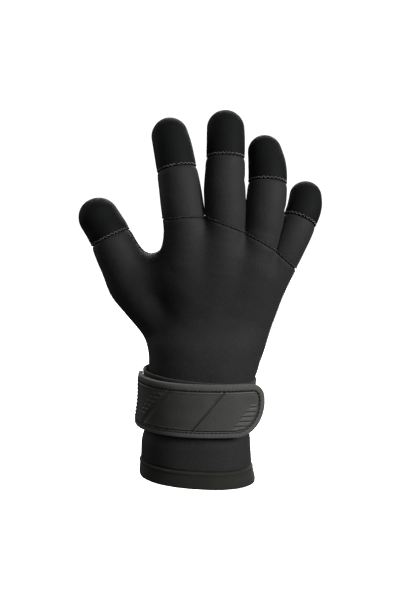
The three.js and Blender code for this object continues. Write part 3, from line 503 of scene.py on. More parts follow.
def skin_of(distance, low, high, cell):
    """Corners and quads of a skin: one corner in each cell that the surface crosses, settled onto it."""
    values = sampled(distance, low, high, cell)
    inside = values < 0
    cells = tuple(n - 1 for n in values.shape)
    count = np.zeros(cells, int)
    for corner in np.ndindex(2, 2, 2):
        count += inside[tuple(slice(c, c + n) for c, n in zip(corner, cells))]
    crossed = np.argwhere((count > 0) & (count < 8))
    number = np.full(cells, -1)
    number[tuple(crossed.T)] = np.arange(len(crossed))
    total = np.zeros((len(crossed), 3))
    weight = np.zeros(len(crossed))
    for axis in range(3):
        for one, two in np.ndindex(2, 2):
            start = np.zeros(3, int)
            start[(axis + 1) % 3], start[(axis + 2) % 3] = one, two
            end = start.copy()
            end[axis] = 1
            a = values[tuple((crossed + start).T)]
            b = values[tuple((crossed + end).T)]
            cut = (a < 0) != (b < 0)
            share = np.where(cut, a / np.where(cut, a - b, 1), 0)
            place = crossed + start.astype(float)
            place[:, axis] += share
            total += place * cut[:, None]
            weight += cut
    corners = low + cell * total / weight[:, None]
    probe = 0.08
    for _ in range(3):
        here = distance(corners)
        slope = np.stack([(distance(corners + probe * step) - here) / probe for step in np.eye(3)], 1)
        travel = here / np.maximum((slope**2).sum(1), 0.3)
        corners -= np.clip(travel, -cell / 5, cell / 5)[:, None] * slope
    quads = []
    for axis in range(3):
        ahead, first, second = np.roll(np.eye(3, dtype=int), -axis, 0)
        here = inside[: cells[0], : cells[1], : cells[2]]
        after = inside[tuple(slice(s, s + n) for s, n in zip(ahead, cells))]
        edges = np.argwhere(here != after)
        edges = edges[(edges[:, (axis + 1) % 3] > 0) & (edges[:, (axis + 2) % 3] > 0)]
        quad = np.stack([number[tuple((edges - s).T)] for s in (first + second, second, 0 * first, first)], 1)
        outwards = inside[tuple(edges.T)]
        quads.append(np.where(outwards[:, None], quad, quad[:, ::-1]))
    return corners, np.vstack(quads)


# Blender meshes and nodes


MATH, VECTOR, NOISE = "ShaderNodeMath", "ShaderNodeVectorMath", "ShaderNodeTexNoise"


def feed(tree, item, inputs):
    """Gives a node's sockets values or links. A node stands for its first output."""
    for socket, value in inputs.items():
        if isinstance(value, bpy.types.Node):
            value = value.outputs[0]
        if isinstance(value, bpy.types.NodeSocket):
            tree.links.new(value, item.inputs[socket])
        else:
            item.inputs[socket].default_value = value


def add(tree, kind, inputs=None, **settings):
    """Adds a node with its settings, and feeds its sockets."""
    item = tree.nodes.new(kind)
    for name, value in settings.items():
        setattr(item, name, value)
    feed(tree, item, inputs or {})
    return item


def place(name, data):
    """A new object in the scene."""
    item = bpy.data.objects.new(name, data)
    bpy.context.scene.collection.objects.link(item)
    return item


def set_vectors(mesh, key, values):
    """Keeps a vector on each corner of a mesh."""
    layer = mesh.attributes.new(key, "FLOAT_VECTOR", "POINT")
    layer.data.foreach_set("vector", np.asarray(values, np.float32).ravel())


def mesh_object(name, corners, faces, material, key=None, values=None):
    """A smooth-shaded object from corners in millimetres, with a vector on each corner if given."""
    mesh = bpy.data.meshes.new(name)
    mesh.from_pydata((np.asarray(corners) * MM).tolist(), [], [list(map(int, f)) for f in faces])
    mesh.validate()
    if key:
        set_vectors(mesh, key, values)
    mesh.polygons.foreach_set("use_smooth", [True] * len(mesh.polygons))
    mesh.materials.append(material)
    mesh.update()
    return place(name, mesh)


def finish_piece(item, node):
    """Puts a piece in its node's place on the one body."""
    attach(item, "root")
    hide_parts(node)


def new_material(name):
    """A material, its node tree and its shader."""
    material = bpy.data.materials.new(name)
    material.use_nodes = True
    return material, material.node_tree, material.node_tree.nodes["Principled BSDF"]


def knit_cloth(name, colour, roughness, gloss, sheen, speckle):
    """Nylon jersey bonded to foam: matt, knitted in fine upright wales of small chevrons, with a
    faint heathered speckle. Real wales are 0.6 mm apart and are drawn coarser, so that they show."""
    material, tree, shader = new_material(name)
    cloth = add(tree, "ShaderNodeTexCoord").outputs["Object"]
    # The knit's place: sine and cosine of the turn round the core, times its count of wales, and the row
    knit = add(tree, "ShaderNodeAttribute", attribute_name="knit").outputs["Vector"]
    spot = add(tree, "ShaderNodeSeparateXYZ", {0: knit}).outputs
    turn = add(tree, MATH, {0: spot[0], 1: spot[1]}, operation="ARCTAN2")
    flat = add(tree, VECTOR, {0: knit, 1: (1, 1, 0)}, operation="MULTIPLY")
    count = add(tree, VECTOR, {0: flat}, operation="LENGTH").outputs["Value"]
    whole = add(tree, MATH, {0: count}, operation="ROUND")
    phase = add(tree, MATH, {0: turn, 1: whole}, operation="MULTIPLY")
    wave = add(tree, MATH, {0: phase}, operation="SINE")
    wales = add(tree, MATH, {0: wave}, operation="ABSOLUTE")
    wale = WALE * MM
    chevron = add(tree, MATH, {0: wales, 1: wale * 0.45, 2: spot[2]}, operation="MULTIPLY_ADD")
    course = add(tree, MATH, {0: chevron, 1: 2 * math.pi / (wale * 0.8)}, operation="MULTIPLY")
    row = add(tree, MATH, {0: course}, operation="SINE")
    height = add(tree, MATH, {0: row, 1: 0.35, 2: wales}, operation="MULTIPLY_ADD")
    mottle = add(tree, NOISE, {"Vector": cloth, "Scale": 90.0, "Detail": 3.0, "Roughness": 0.6})
    grain = add(tree, NOISE, {"Vector": cloth, "Scale": 900.0, "Detail": 2.0})
    shade = add(tree, MATH, {0: height, 1: 0.1, 2: 0.82}, operation="MULTIPLY_ADD")
    shade = add(tree, MATH, {0: grain, 1: speckle, 2: shade}, operation="MULTIPLY_ADD")
    shade = add(tree, MATH, {0: mottle, 1: 0.3, 2: shade}, operation="MULTIPLY_ADD")
    shade = add(tree, MATH, {0: shade, 1: 0.15 + speckle / 2}, operation="SUBTRACT")
    tint = add(tree, VECTOR, {0: colour[:3], "Scale": shade}, operation="SCALE")
    bump = add(tree, "ShaderNodeBump", {"Height": height, "Strength": 0.4, "Distance": 0.0001})
    soft = add(tree, "ShaderNodeBump", {"Height": mottle, "Strength": 0.5, "Distance": 0.0004, "Normal": bump})
    feed(tree, shader, {"Base Color": tint, "Normal": soft, "Roughness": roughness})
    feed(tree, shader, {"Specular IOR Level": gloss, "Sheen Weight": sheen, "Sheen Roughness": 0.55})
    return material


def moulded_rubber(name, colour):
    """Injection-moulded rubber: satin, with a fine pebbled mould texture, and painted shade that darkens its colour in
    the hollows.
    """
    material, tree, shader = new_material(name)
    cloth = add(tree, "ShaderNodeAttribute", attribute_name="cloth").outputs["Vector"]
    pebble = add(tree, "ShaderNodeTexVoronoi", {"Vector": cloth, "Scale": 900.0}, feature="SMOOTH_F1")
    mottle = add(tree, NOISE, {"Vector": cloth, "Scale": 120.0, "Detail": 4.0, "Roughness": 0.65})
    shade = add(tree, MATH, {0: mottle, 1: 0.35, 2: 0.8}, operation="MULTIPLY_ADD")
    shade = add(tree, MATH, {0: pebble, 1: -0.15, 2: shade}, operation="MULTIPLY_ADD")
    # The second part of the place is the height over the strap's inside, here 1.9 to 2.7 mm: the lower the face, the
    # darker its colour, as painted shade in the groove, round the lip and in the other hollows
    level = add(tree, "ShaderNodeSeparateXYZ", {0: cloth}).outputs[1]
    painted_hollow_shade = add(tree, "ShaderNodeMapRange", {0: level, 1: 0.0019, 2: 0.0027, 3: 0.1, 4: 1.0})
    shade = add(tree, MATH, {0: painted_hollow_shade, 1: shade}, operation="MULTIPLY")
    tint = add(tree, VECTOR, {0: colour[:3], "Scale": shade}, operation="SCALE")
    rough = add(tree, "ShaderNodeMapRange", {0: mottle, 1: 0.3, 2: 0.7, 3: 0.5, 4: 0.64})
    bump = add(tree, "ShaderNodeBump", {"Height": pebble, "Strength": 0.35, "Distance": 0.0002})
    feed(tree, shader, {"Base Color": tint, "Normal": bump, "Roughness": rough, "IOR": 1.52})
    feed(tree, shader, {"Specular IOR Level": 0.4})
    return material


def woven_tape(name, colour, thread, gloss):
    """Woven tape: matt, with threads across and along it in a plain weave, drawn a little coarse."""
    material, tree, shader = new_material(name)
    cloth = add(tree, "ShaderNodeAttribute", attribute_name="cloth").outputs["Vector"]
    turn = add(tree, VECTOR, {0: cloth, 1: (math.pi / (thread * MM),) * 3}, operation="MULTIPLY")
    sine = add(tree, VECTOR, {0: turn}, operation="SINE")
    part = add(tree, "ShaderNodeSeparateXYZ", {0: sine}).outputs
    weave = add(tree, MATH, {0: part[0], 1: part[2]}, operation="MULTIPLY")
    mottle = add(tree, NOISE, {"Vector": cloth, "Scale": 160.0, "Detail": 3.0})
    shade = add(tree, MATH, {0: weave, 1: 0.14, 2: 0.82}, operation="MULTIPLY_ADD")
    shade = add(tree, MATH, {0: mottle, 1: 0.35, 2: shade}, operation="MULTIPLY_ADD")
    tint = add(tree, VECTOR, {0: colour[:3], "Scale": shade}, operation="SCALE")
    bump = add(tree, "ShaderNodeBump", {"Height": weave, "Strength": 0.5, "Distance": 0.00012})
    feed(tree, shader, {"Base Color": tint, "Normal": bump, "Roughness": 0.85})
    feed(tree, shader, {"Specular IOR Level": gloss, "Sheen Weight": 0.08})
    return material


def spun_thread(name, colour):
    """Spun polyester sewing thread: matt, twisted from fine plies."""
    material, tree, shader = new_material(name)
    cloth = add(tree, "ShaderNodeTexCoord").outputs["Object"]
    twist = add(tree, NOISE, {"Vector": cloth, "Scale": 2600.0, "Detail": 1.0})
    shade = add(tree, MATH, {0: twist, 1: 0.7, 2: 0.65}, operation="MULTIPLY_ADD")
    tint = add(tree, VECTOR, {0: colour[:3], "Scale": shade}, operation="SCALE")
    feed(tree, shader, {"Base Color": tint, "Roughness": 0.8, "Specular IOR Level": 0.3})
    return material


MATERIALS = {}


def finishes():
    """The glove's materials, made once."""
    if not MATERIALS:
        c = bpy.context.scene.glove_colours
        MATERIALS.update(
            jersey=knit_cloth("nylon_jersey_neoprene", c.jersey, 0.7, 0.13, 0.02, 0.85),
            tips=knit_cloth("close_knit_neoprene", c.tips, 0.75, 0.09, 0.01, 0.7),
            hem=woven_tape("stretch_hem_tape", c.hem, 1.1, 0.2),
            webbing=woven_tape("elastic_webbing", c.webbing, 1.4, 0.25),
            rubber=moulded_rubber("moulded_rubber", c.rubber),
            binding=woven_tape("woven_binding_tape", c.binding, 1.0, 0.3),
            thread=spun_thread("spun_polyester_thread", c.thread),
            dark_thread=spun_thread("spun_polyester_dark_thread", c.dark_thread),
            strap_thread=spun_thread("spun_polyester_strap_thread", c.strap_thread),
        )
    return MATERIALS


def knit_place(corners, name):
    """Places in the knit, whose wales run up the hand or the digit: sine and cosine of the turn
    round the core, times the whole number of half wales round it, and the height in metres."""
    if name in DIGITS:
        root, along, aside = digit_axes(name)
        moved = corners - root
        height = moved @ along
        core = digit_balls(name)
        reached = (core[:, :3] - root) @ along
        angle = np.arctan2(moved @ aside, np.interp(height, reached, core[:, 1]) - corners[:, 1])
        around = math.pi * DIGITS[name]["size"][1]
    else:
        height = corners[:, 2]
        middle = np.interp(height, [0, WRIST_HEIGHT, 2 * WRIST_HEIGHT], [0, 0.03 * PALM_WIDTH, 0.18 * PALM_WIDTH])
        angle = np.arctan2((corners[:, 0] - middle) / PALM_WIDTH, -corners[:, 1] / PALM_THICKNESS)
        around = math.pi * PALM_WIDTH
    count = round(around / WALE / 2)
    return np.stack([np.sin(angle) * count, np.cos(angle) * count, height * MM], 1)


def build_panel(name, part):
    """One foam panel of the glove, in its node's place."""
    sizes = bpy.context.scene.glove_sizes
    node = f"{name}_{part}"
    finish, slot = ("tips", "grip_neoprene") if part == "tip" else ("jersey", "jersey_neoprene")
    cell = sizes.panel_cell / MM
    low, high = (np.array(corner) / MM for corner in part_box(node))
    corners, quads = skin_of(
        lambda points: panel_distance(node, points, sizes), low - 2.5 * cell, high + 2.5 * cell, cell
    )
    item = mesh_object(node + "_look", corners, quads, finishes()[finish], "knit", knit_place(corners, name))
    finish_piece(item, node)


class GLOVE_OT_hand(bpy.types.Operator):
    """Build the back and palm panels, with the thumb's tube and the cuff"""

    bl_idname = "glove.hand"
    bl_label = "Hand panels"

    def execute(self, context):
        for name in ("back", "palm"):
            build_panel(name, "panel")
        return {"FINISHED"}


class GLOVE_OT_fingers(bpy.types.Operator):
    """Build the sleeves of the fingers and the closed tips of all digits"""

    bl_idname = "glove.fingers"
    bl_label = "Fingers and tips"

    def execute(self, context):
        for name in FINGERS:
            build_panel(name, "sleeve")
        for name in DIGITS:
            build_panel(name, "tip")
        return {"FINISHED"}


# The bands round the wrist


def oval_point(section, angle):
    """A point of a squarish oval at each turn."""
    left, right, front, back = section
    power = 2 / CUFF_SQUARENESS
    x = np.sign(np.cos(angle)) * np.abs(np.cos(angle)) ** power
    y = np.sign(np.sin(angle)) * np.abs(np.sin(angle)) ** power
    return np.stack([(left + right) / 2 + x * (right - left) / 2, (front + back) / 2 + y * (back - front) / 2], -1)


def grown(section, by):
    """A section moved out all round."""
    return np.asarray(section) + np.array([-by, by, -by, by])


def round_all(sections):
    """The section round several sections."""
    lows, highs = np.min(sections, 0), np.max(sections, 0)
    return np.array([lows[0], highs[1], lows[2], highs[3]])


def section_at(height):
    """Left, right, front and back of the cuff at one height."""
    return cuff_section(np.array([height]))[0]


def widest_section(low, high, slope):
    """The widest section of the cuff between two heights at its middle, which slope across the wrist."""
    rows = [section_at(low)]
    for height in np.arange(low, high + 0.01, 1.0):
        left, right, front, back = section_at(height)
        rows.append((section_at(height + slope * left)[0], section_at(height + slope * right)[1], front, back))
    return grown(round_all(rows), BAND_CLEARANCE)


BAND_LOW, BAND_HIGH = BAND_LEVEL - BAND_HEIGHT / 2, BAND_LEVEL + BAND_HEIGHT / 2
BAND_FOOT = widest_section(BAND_LOW, BAND_LEVEL, BAND_SLOPE)
BAND_HEAD = widest_section(BAND_LEVEL, BAND_HIGH, BAND_SLOPE) - np.array([BAND_STAND_OFF, 0, 0, 0])
BAND_OUTSIDE = grown(round_all([BAND_FOOT, BAND_HEAD]), BAND_THICKNESS + STRAP_CLEARANCE)
STRAP_HALF = STRAP_HEIGHT / 2
WRIST_INSIDE = widest_section(STRAP_LEVEL - STRAP_HALF, STRAP_LEVEL + STRAP_HALF, STRAP_SLOPE)
STRAP_INSIDE = round_all([BAND_OUTSIDE, WRIST_INSIDE])


def strap_route(turns=120, steps=12):
    """The strap's line in plan: round the left and across the front, then off along a wide arc."""
    points = oval_point(STRAP_INSIDE, STRAP_ANCHOR_TURN + 2 * math.pi * np.arange(turns + 1) / turns)
    points = points[: int(np.argmax(points[:, 0] > TAIL_START))]
    heading = unit(points[-1] - points[-2])
    side = np.array([-heading[1], heading[0]])
    turn = TAIL_LENGTH * np.arange(1, steps + 1)[:, None] / steps / TAIL_RADIUS
    tail = points[-1] + heading * TAIL_RADIUS * np.sin(turn) + side * TAIL_RADIUS * (1 - np.cos(turn))
    line = smooth_rows(np.vstack([points, tail]), CURVE_STEPS)
    return line, run_along(line)


ROUTE, REACHED = strap_route()
STRAP_LENGTH = float(REACHED[-1])
LEFT_TURN = float(REACHED[int(np.argmin(ROUTE[:, 0]))])


def strap_frame(at):
    """Foot and outward normal of the strap at each distance from its start."""

    def on_route(where):
        inner = np.clip(where, 0, STRAP_LENGTH)
        return np.stack([np.interp(inner, REACHED, ROUTE[:, 0]), np.interp(inner, REACHED, ROUTE[:, 1])], -1)

    at = np.asarray(at, float)
    ahead = unit(on_route(at + 1.5) - on_route(at - 1.5))
    foot = on_route(at) + ahead * (at - np.clip(at, 0, STRAP_LENGTH))[..., None]
    return foot, np.stack([ahead[..., 1], -ahead[..., 0]], -1)


def on_strap(at, edge, away):
    """Points of the strap: along it, over its middle line, and outwards from its inside."""
    foot, normal = strap_frame(at)
    edge = np.asarray(edge, float)
    flare = STRAP_FLARE * np.maximum(0, 1 - np.maximum(at, 0) / FLARE_LENGTH) ** 2
    # The lower edge stands off where the strap turns round the thumb's side
    lean = STRAP_LEAN * np.exp(-(((at - LEFT_TURN) / LEAN_LENGTH) ** 2)) * smoothstep(-edge, -4, STRAP_HALF)
    away = away + flare * (0.5 - edge / STRAP_HEIGHT) + lean
    plan = foot + normal * np.asarray(away)[..., None]
    height = STRAP_LEVEL + STRAP_SLOPE * foot[..., 0] + edge
    return np.concatenate([plan, height[..., None]], -1)


def strap_outline(inset, spacing):
    """The strap's edge line moved in by an inset, from its start along the bottom, round the end and back."""
    half = STRAP_HALF - inset
    end = STRAP_LENGTH - inset
    corners = []
    for (along, across), sign in ((BOTTOM_CORNER, -1), (TOP_CORNER, 1)):
        a, b = max(along - inset, 0.5), across - inset
        turn = np.linspace(0, math.pi / 2, 40)[::-sign]
        corners.append(np.stack([end - a + a * np.sin(turn), sign * (half - b * (1 - np.cos(turn)))], 1))
    line = np.vstack([[(0, -half)], *corners, [(0, half)]])
    reached = run_along(line)
    places = np.linspace(0, reached[-1], max(int(round(reached[-1] / spacing)), 2) + 1)
    return np.stack([np.interp(places, reached, line[:, i]) for i in (0, 1)], 1), places


def ring_faces(rows, columns, closed):
    """Quads between the points of a grid, round each row, and round the rows if they are closed."""
    r, c = np.meshgrid(np.arange(rows if closed else rows - 1), np.arange(columns), indexing="ij")
    after_r, after_c = (r + 1) % rows, (c + 1) % columns
    corners = [r * columns + c, after_r * columns + c, after_r * columns + after_c, r * columns + after_c]
    return np.stack(corners, -1).reshape(-1, 4).tolist()


def loft(node, sections, cloth, material, closed=False):
    """A closed solid through equal sections, capped at its ends unless it is a ring, in its node's place."""
    sections, cloth = np.array(sections), np.array(cloth)
    rows, columns = sections.shape[:2]
    faces = ring_faces(rows, columns, closed)
    if not closed:
        faces += [[*range(columns)][::-1], [(rows - 1) * columns + i for i in range(columns)]]
    item = mesh_object(node + "_look", sections.reshape(-1, 3), faces, material, "cloth", cloth.reshape(-1, 3) * MM)
    solid = bmesh.new()
    solid.from_mesh(item.data)
    bmesh.ops.recalc_face_normals(solid, faces=solid.faces)
    solid.to_mesh(item.data)
    solid.free()
    finish_piece(item, node)


def rounded(profile):
    """A closed profile with a point more on a smooth curve between each two."""
    return smooth_rows(np.array(profile + profile[:1]), 2)[:-1]


def turns_of(count):
    """Even turns round the wrist."""
    return np.arange(count) * 2 * math.pi / count


def on_hem(angle, out, lift):
    """Points of the hem at one turn: outwards from the cuff's skin, and up from its slanted opening."""
    height = lift
    for _ in range(3):
        rim = np.array([oval_point(grown(section_at(h), o), angle) for h, o in zip(height, out)])
        height = lift - math.tan(OPENING_SLANT) * rim[:, 0]
    return np.column_stack([rim, height])


class GLOVE_OT_hem(bpy.types.Operator):
    """Build the folded tape sewn round the cuff's opening"""

    bl_idname = "glove.hem"
    bl_label = "Hem"

    def execute(self, context):
        # The folded tape's section: distance from the cuff's skin, and share of the hem's height
        profile = [
            (0.05, 1.0), (0.55, 0.975), (0.8, 0.9), (0.72, 0.82), (0.66, 0.72), (0.75, 0.55), (0.85, 0.35),
            (0.95, 0.15), (0.9, 0.05), (0.5, 0.0), (-0.5, -0.01), (-2.2, 0.0), (-3.3, 0.03), (-3.9, 0.12),
            (-4, 0.3), (-4, 0.6), (-4, 0.9), (-3.7, 0.99), (-3, 1.05), (-1, 1.05),
        ]
        out, share = rounded(profile).T
        sections, cloth = [], []
        for angle in turns_of(300):
            wave = HEM_WAVE * math.sin(9 * angle) * math.sin(4 * angle + 1) * np.clip(1 - share, 0, 1)
            section = on_hem(angle, out + wave, HEM_HEIGHT / OPENING_NORMAL[2] * share)
            sections.append(section)
            cloth.append(np.column_stack([np.full(len(out), WRIST_RADIUS * angle), out, section[:, 2]]))
        loft("hem_band", sections, cloth, finishes()["hem"], closed=True)
        return {"FINISHED"}


def band_inside(section, angle, low, high):
    """The band's inside at one turn, moved out where the hand swells past the cuff's section."""
    at = oval_point(section, angle)
    out = unit(at)
    for height in np.arange(low, high + 0.01, 2.0):
        spot = np.array([[at[0], at[1], height + BAND_SLOPE * at[0]]])
        at = at + out * max(0.0, BAND_CLEARANCE - hand_distance(spot)[0][0])
    return at, out


class GLOVE_OT_under_band(bpy.types.Operator):
    """Build the elastic ring that the strap is sewn to"""

    bl_idname = "glove.under_band"
    bl_label = "Under band"

    def execute(self, context):
        # The webbing's section: out from its inside, up as a share of its height, with thicker selvedges
        profile = [
            (0.5, 0.0), (1.1, 0.004), (1.6, 0.02), (1.6, 0.05), (1.35, 0.075), (1.4, 0.2), (1.4, 0.5),
            (1.4, 0.8), (1.35, 0.925), (1.6, 0.95), (1.6, 0.98), (1.1, 0.996), (0.5, 1.0), (0.05, 0.99),
            (0, 0.9), (0, 0.5), (0, 0.1), (0.05, 0.01),
        ]
        away, share = rounded(profile).T
        sections, cloth = [], []
        for angle in turns_of(180):
            foot, out = band_inside(BAND_FOOT, angle, BAND_LOW, BAND_LEVEL)
            head, _ = band_inside(BAND_HEAD, angle, BAND_LEVEL, BAND_HIGH)
            plan = foot + (head - foot) * share[:, None] + out * away[:, None]
            height = BAND_LOW + BAND_HEIGHT * share + BAND_SLOPE * plan[:, 0]
            sections.append(np.column_stack([plan, height]))
            cloth.append(np.column_stack([np.full(len(share), WRIST_RADIUS * angle), away, height]))
        loft("under_band", sections, cloth, finishes()["webbing"], closed=True)
        return {"FINISHED"}


def strap_sheet(node, inset, heights, foot, material, columns=64, spacing=0.55):
    """A plate of the strap inside an outline, with a front whose height is given along and over it."""
    steps = int((STRAP_LENGTH - inset) / spacing)
    at = (STRAP_LENGTH - inset - 0.02) * (np.arange(steps + 1) / steps)
    low, high = strap_edges(at, inset)
    edge = low[:, None] + (high - low)[:, None] * np.linspace(0, 1, columns)
    along = np.repeat(at[:, None], columns, 1)
    level = heights(along, edge)
    front = on_strap(along, edge, level)
    back = on_strap(along, edge, np.full(edge.shape, foot))
    # The front's height also goes into the place, and the moulded rubber darkens its colour with it as painted shade
    # in the low places
    cloth = [np.stack([along, level, edge], -1), np.stack([along, 0 * edge, edge], -1)[:, ::-1]]
    loft(node, np.concatenate([front, back[:, ::-1]], 1), np.concatenate(cloth, 1), material)


def strap_edges(at, inset):
    """Low and high edge of the strap at each distance, moved in by an inset."""
    result = []
    for (along, across), sign in ((BOTTOM_CORNER, -1), (TOP_CORNER, 1)):
        past = np.clip((at - (STRAP_LENGTH - along)) / max(along - inset, 0.5), 0, 1)
        result.append(sign * (STRAP_HALF - inset - (across - inset) * (1 - np.sqrt(1 - past**2))))
    return result


def bar(at, edge, start, end, level, width):
    """How deep each point lies in a rounded bar along the strap: one on its middle line, zero outside."""
    nearest = np.clip(at, start, end)
    away = np.hypot(at - nearest, edge - level)
    return np.clip(1 - (away / (width / 2)) ** 2, 0, 1)


def ridge(away, height, width, power=2):
    """A ridge's height, or a groove's if it is negative, at each distance from its middle line."""
    return height * np.exp(-((away / width) ** power))


def face_height(at, edge):
    """The moulded face's height over its foot: lip at the rim, groove, fans of ribs and their border."""
    low, high = strap_edges(at, FACE_INSET)
    to_side = np.minimum(edge - low, high - edge)
    to_rim = np.minimum(to_side, STRAP_LENGTH - FACE_INSET - at)
    # A thin moulded lip just inside the rim
    height = FACE_THICKNESS + ridge(to_rim - 0.9, 0.28, 0.42) + ridge(to_rim, -0.55, 0.45)

    def across(start):
        return (at - start - RELIEF_SLANT * edge) / math.hypot(1, RELIEF_SLANT)

    # The slanted groove, with a bead and a fine line after it
    groove = across(STRAP_LENGTH - GROOVE_FROM_END - (STRAP_HALF - BINDING_WIDTH - 1) * RELIEF_SLANT)
    height += ridge(groove, -0.8, 0.8, 4) + ridge(groove - 1.5, 0.3, 0.45) + ridge(groove - 2.7, -0.4, 0.4)
    height += 0.15 * smoothstep(groove, 0.4, 3.0) * smoothstep(to_rim, 1.0, 2.5)
    for i in range(RIB_COUNT):
        level = END_FAN_TOP - i * RIB_PITCH
        start = STRAP_LENGTH - END_FAN_FROM_END + RELIEF_SLANT * level
        # The rib ends short of the strap's round corner
        rise = STRAP_HALF - FACE_INSET + level - RIB_WIDTH / 2
        share = min(max(rise / (BOTTOM_CORNER[1] - FACE_INSET), 0), 1)
        bend = math.sqrt(1 - (1 - share) ** 2) * (BOTTOM_CORNER[0] - FACE_INSET)
        end = min(start + END_FAN_REACH, STRAP_LENGTH - BOTTOM_CORNER[0] + bend - END_FAN_MARGIN) - 0.3
        height += 0.3 * bar(at, edge, start + 0.5, end, level, RIB_WIDTH * 0.8)
        height -= 0.4 * bar(at, edge, start + 0.2, end, level - 1.3, 1.1)
        level = START_FAN_TOP - i * RIB_PITCH
        end = START_FAN_FROM_START + RELIEF_SLANT * level
        for start, stop in ((end - START_FAN_REACH + 1.5, end - 4.2), (end - 1.7, end)):
            height += 0.5 * bar(at, edge, start, stop, level, RIB_WIDTH * 1.2)
    return height + ridge(across(START_FAN_FROM_START + 3.4), -0.45, 1.5)


class GLOVE_OT_strap(bpy.types.Operator):
    """Build the strap: its hook backing, its moulded face and the tape that binds its edge"""

    bl_idname = "glove.strap"
    bl_label = "Strap"

    def execute(self, context):
        def backing(at, edge):
            return np.full(at.shape, BACKING_THICKNESS)

        def face(at, edge):
            return FACE_FOOT + face_height(at, edge)

        finish = finishes()
        strap_sheet("strap_backing", BACKING_INSET, backing, BACKING_FOOT, finish["webbing"])
        strap_sheet("strap_face", FACE_INSET, face, FACE_FOOT, finish["rubber"])
        # The tape's section: in from the strap's edge, and out from its inside
        profile = [
            (0.0, 0.9), (0.0, 1.9), (0.16, 2.5), (0.55, 2.88), (1.2, 3.05), (2.2, 3.12), (3.2, 3.04),
            (3.9, 2.86), (4.3, 2.78), (4.7, 2.9), (4.95, 2.6), (4.95, 2.2), (4.5, 2.12), (3.0, 2.1),
            (1.3, 2.1), (0.92, 2.0), (0.9, 1.4), (0.9, 0.5), (0.8, -0.2), (0.4, -0.4), (0.1, -0.15),
        ]
        profile = rounded(profile)
        lines = [strap_outline(inset, 1.0) for inset in profile[:, 0]]
        sections, cloth = [], []
        for share in np.arange(BINDING_STEPS + 1) / BINDING_STEPS:
            section = []
            for (line, places), away in zip(lines, profile[:, 1]):
                at, edge = (np.interp(places[-1] * share, places, line[:, i]) for i in (0, 1))
                section.append(on_strap(np.array(at), np.array(edge), np.array(away)))
            sections.append(section)
            cloth.append([(lines[0][1][-1] * share, away, inset) for inset, away in profile])
        loft("strap_binding", sections, cloth, finish["binding"])
        return {"FINISHED"}


# Stitches


def stitch_tree():
    """Small arched threads on points that hold the seam's direction and its outward normal."""
    tree = bpy.data.node_groups.new("thread_stitches", "GeometryNodeTree")

    def socket(name, kind, value=None, way="INPUT"):
        made = tree.interface.new_socket(name, in_out=way, socket_type="NodeSocket" + kind)
        if value is not None:
            made.default_value = value

    socket("Geometry", "Geometry")
    for name, value in (("Length", 0.0012), ("Thickness", 0.0004), ("Arch", 0.0003), ("Slant", 0.5)):
        socket(name, "Float", value)
    socket("Unevenness", "Float", 0.15)
    socket("Seed", "Int", 7)
    socket("Material", "Material")
    socket("Geometry", "Geometry", way="OUTPUT")
    given = add(tree, "NodeGroupInput").outputs
    half = add(tree, MATH, {0: given["Length"], 1: 0.5}, operation="MULTIPLY")
    back = add(tree, MATH, {0: given["Length"], 1: -0.5}, operation="MULTIPLY")
    start = add(tree, "ShaderNodeCombineXYZ", {0: back})
    top = add(tree, "ShaderNodeCombineXYZ", {2: given["Arch"]})
    end = add(tree, "ShaderNodeCombineXYZ", {0: half})
    arch = add(tree, "GeometryNodeCurveQuadraticBezier", {"Resolution": 4, "Start": start, "Middle": top, "End": end})
    radius = add(tree, MATH, {0: given["Thickness"], 1: 0.5}, operation="MULTIPLY")
    ring = add(tree, "GeometryNodeCurvePrimitiveCircle", {"Resolution": 6, "Radius": radius})
    tube = add(tree, "GeometryNodeCurveToMesh", {"Curve": arch, "Profile Curve": ring, "Fill Caps": True})
    along = add(tree, "GeometryNodeInputNamedAttribute", {"Name": "along"}, data_type="FLOAT_VECTOR")
    out = add(tree, "GeometryNodeInputNamedAttribute", {"Name": "out"}, data_type="FLOAT_VECTOR")
    turned = add(tree, "FunctionNodeAxesToRotation", {0: along, 1: out}, primary_axis="X", secondary_axis="Z")
    # Each second stitch slants the other way, and each one a little differently
    odd = add(tree, MATH, {0: add(tree, "GeometryNodeInputIndex"), 1: 2.0}, operation="MODULO")
    sign = add(tree, MATH, {0: odd, 1: 2.0, 2: -1.0}, operation="MULTIPLY_ADD")
    swing = add(tree, MATH, {0: sign, 1: given["Slant"]}, operation="MULTIPLY")
    jitter = add(tree, "FunctionNodeRandomValue", {2: -1.0, 3: 1.0, "Seed": given["Seed"]}, data_type="FLOAT")
    swing = add(tree, MATH, {0: jitter.outputs[1], 1: given["Unevenness"], 2: swing}, operation="MULTIPLY_ADD")
    spin = add(tree, "FunctionNodeAxisAngleToRotation", {"Axis": (0, 0, 1), "Angle": swing})
    turned = add(tree, "FunctionNodeRotateRotation", {0: turned, 1: spin}, rotation_space="LOCAL")
    on_points = {"Points": given["Geometry"], "Instance": tube, "Rotation": turned}
    placed = add(tree, "GeometryNodeInstanceOnPoints", on_points)
    real = add(tree, "GeometryNodeRealizeInstances", {0: placed})
    covered = add(tree, "GeometryNodeSetMaterial", {"Geometry": real, "Material": given["Material"]})
    add(tree, "NodeGroupOutput", {0: covered})
    return tree


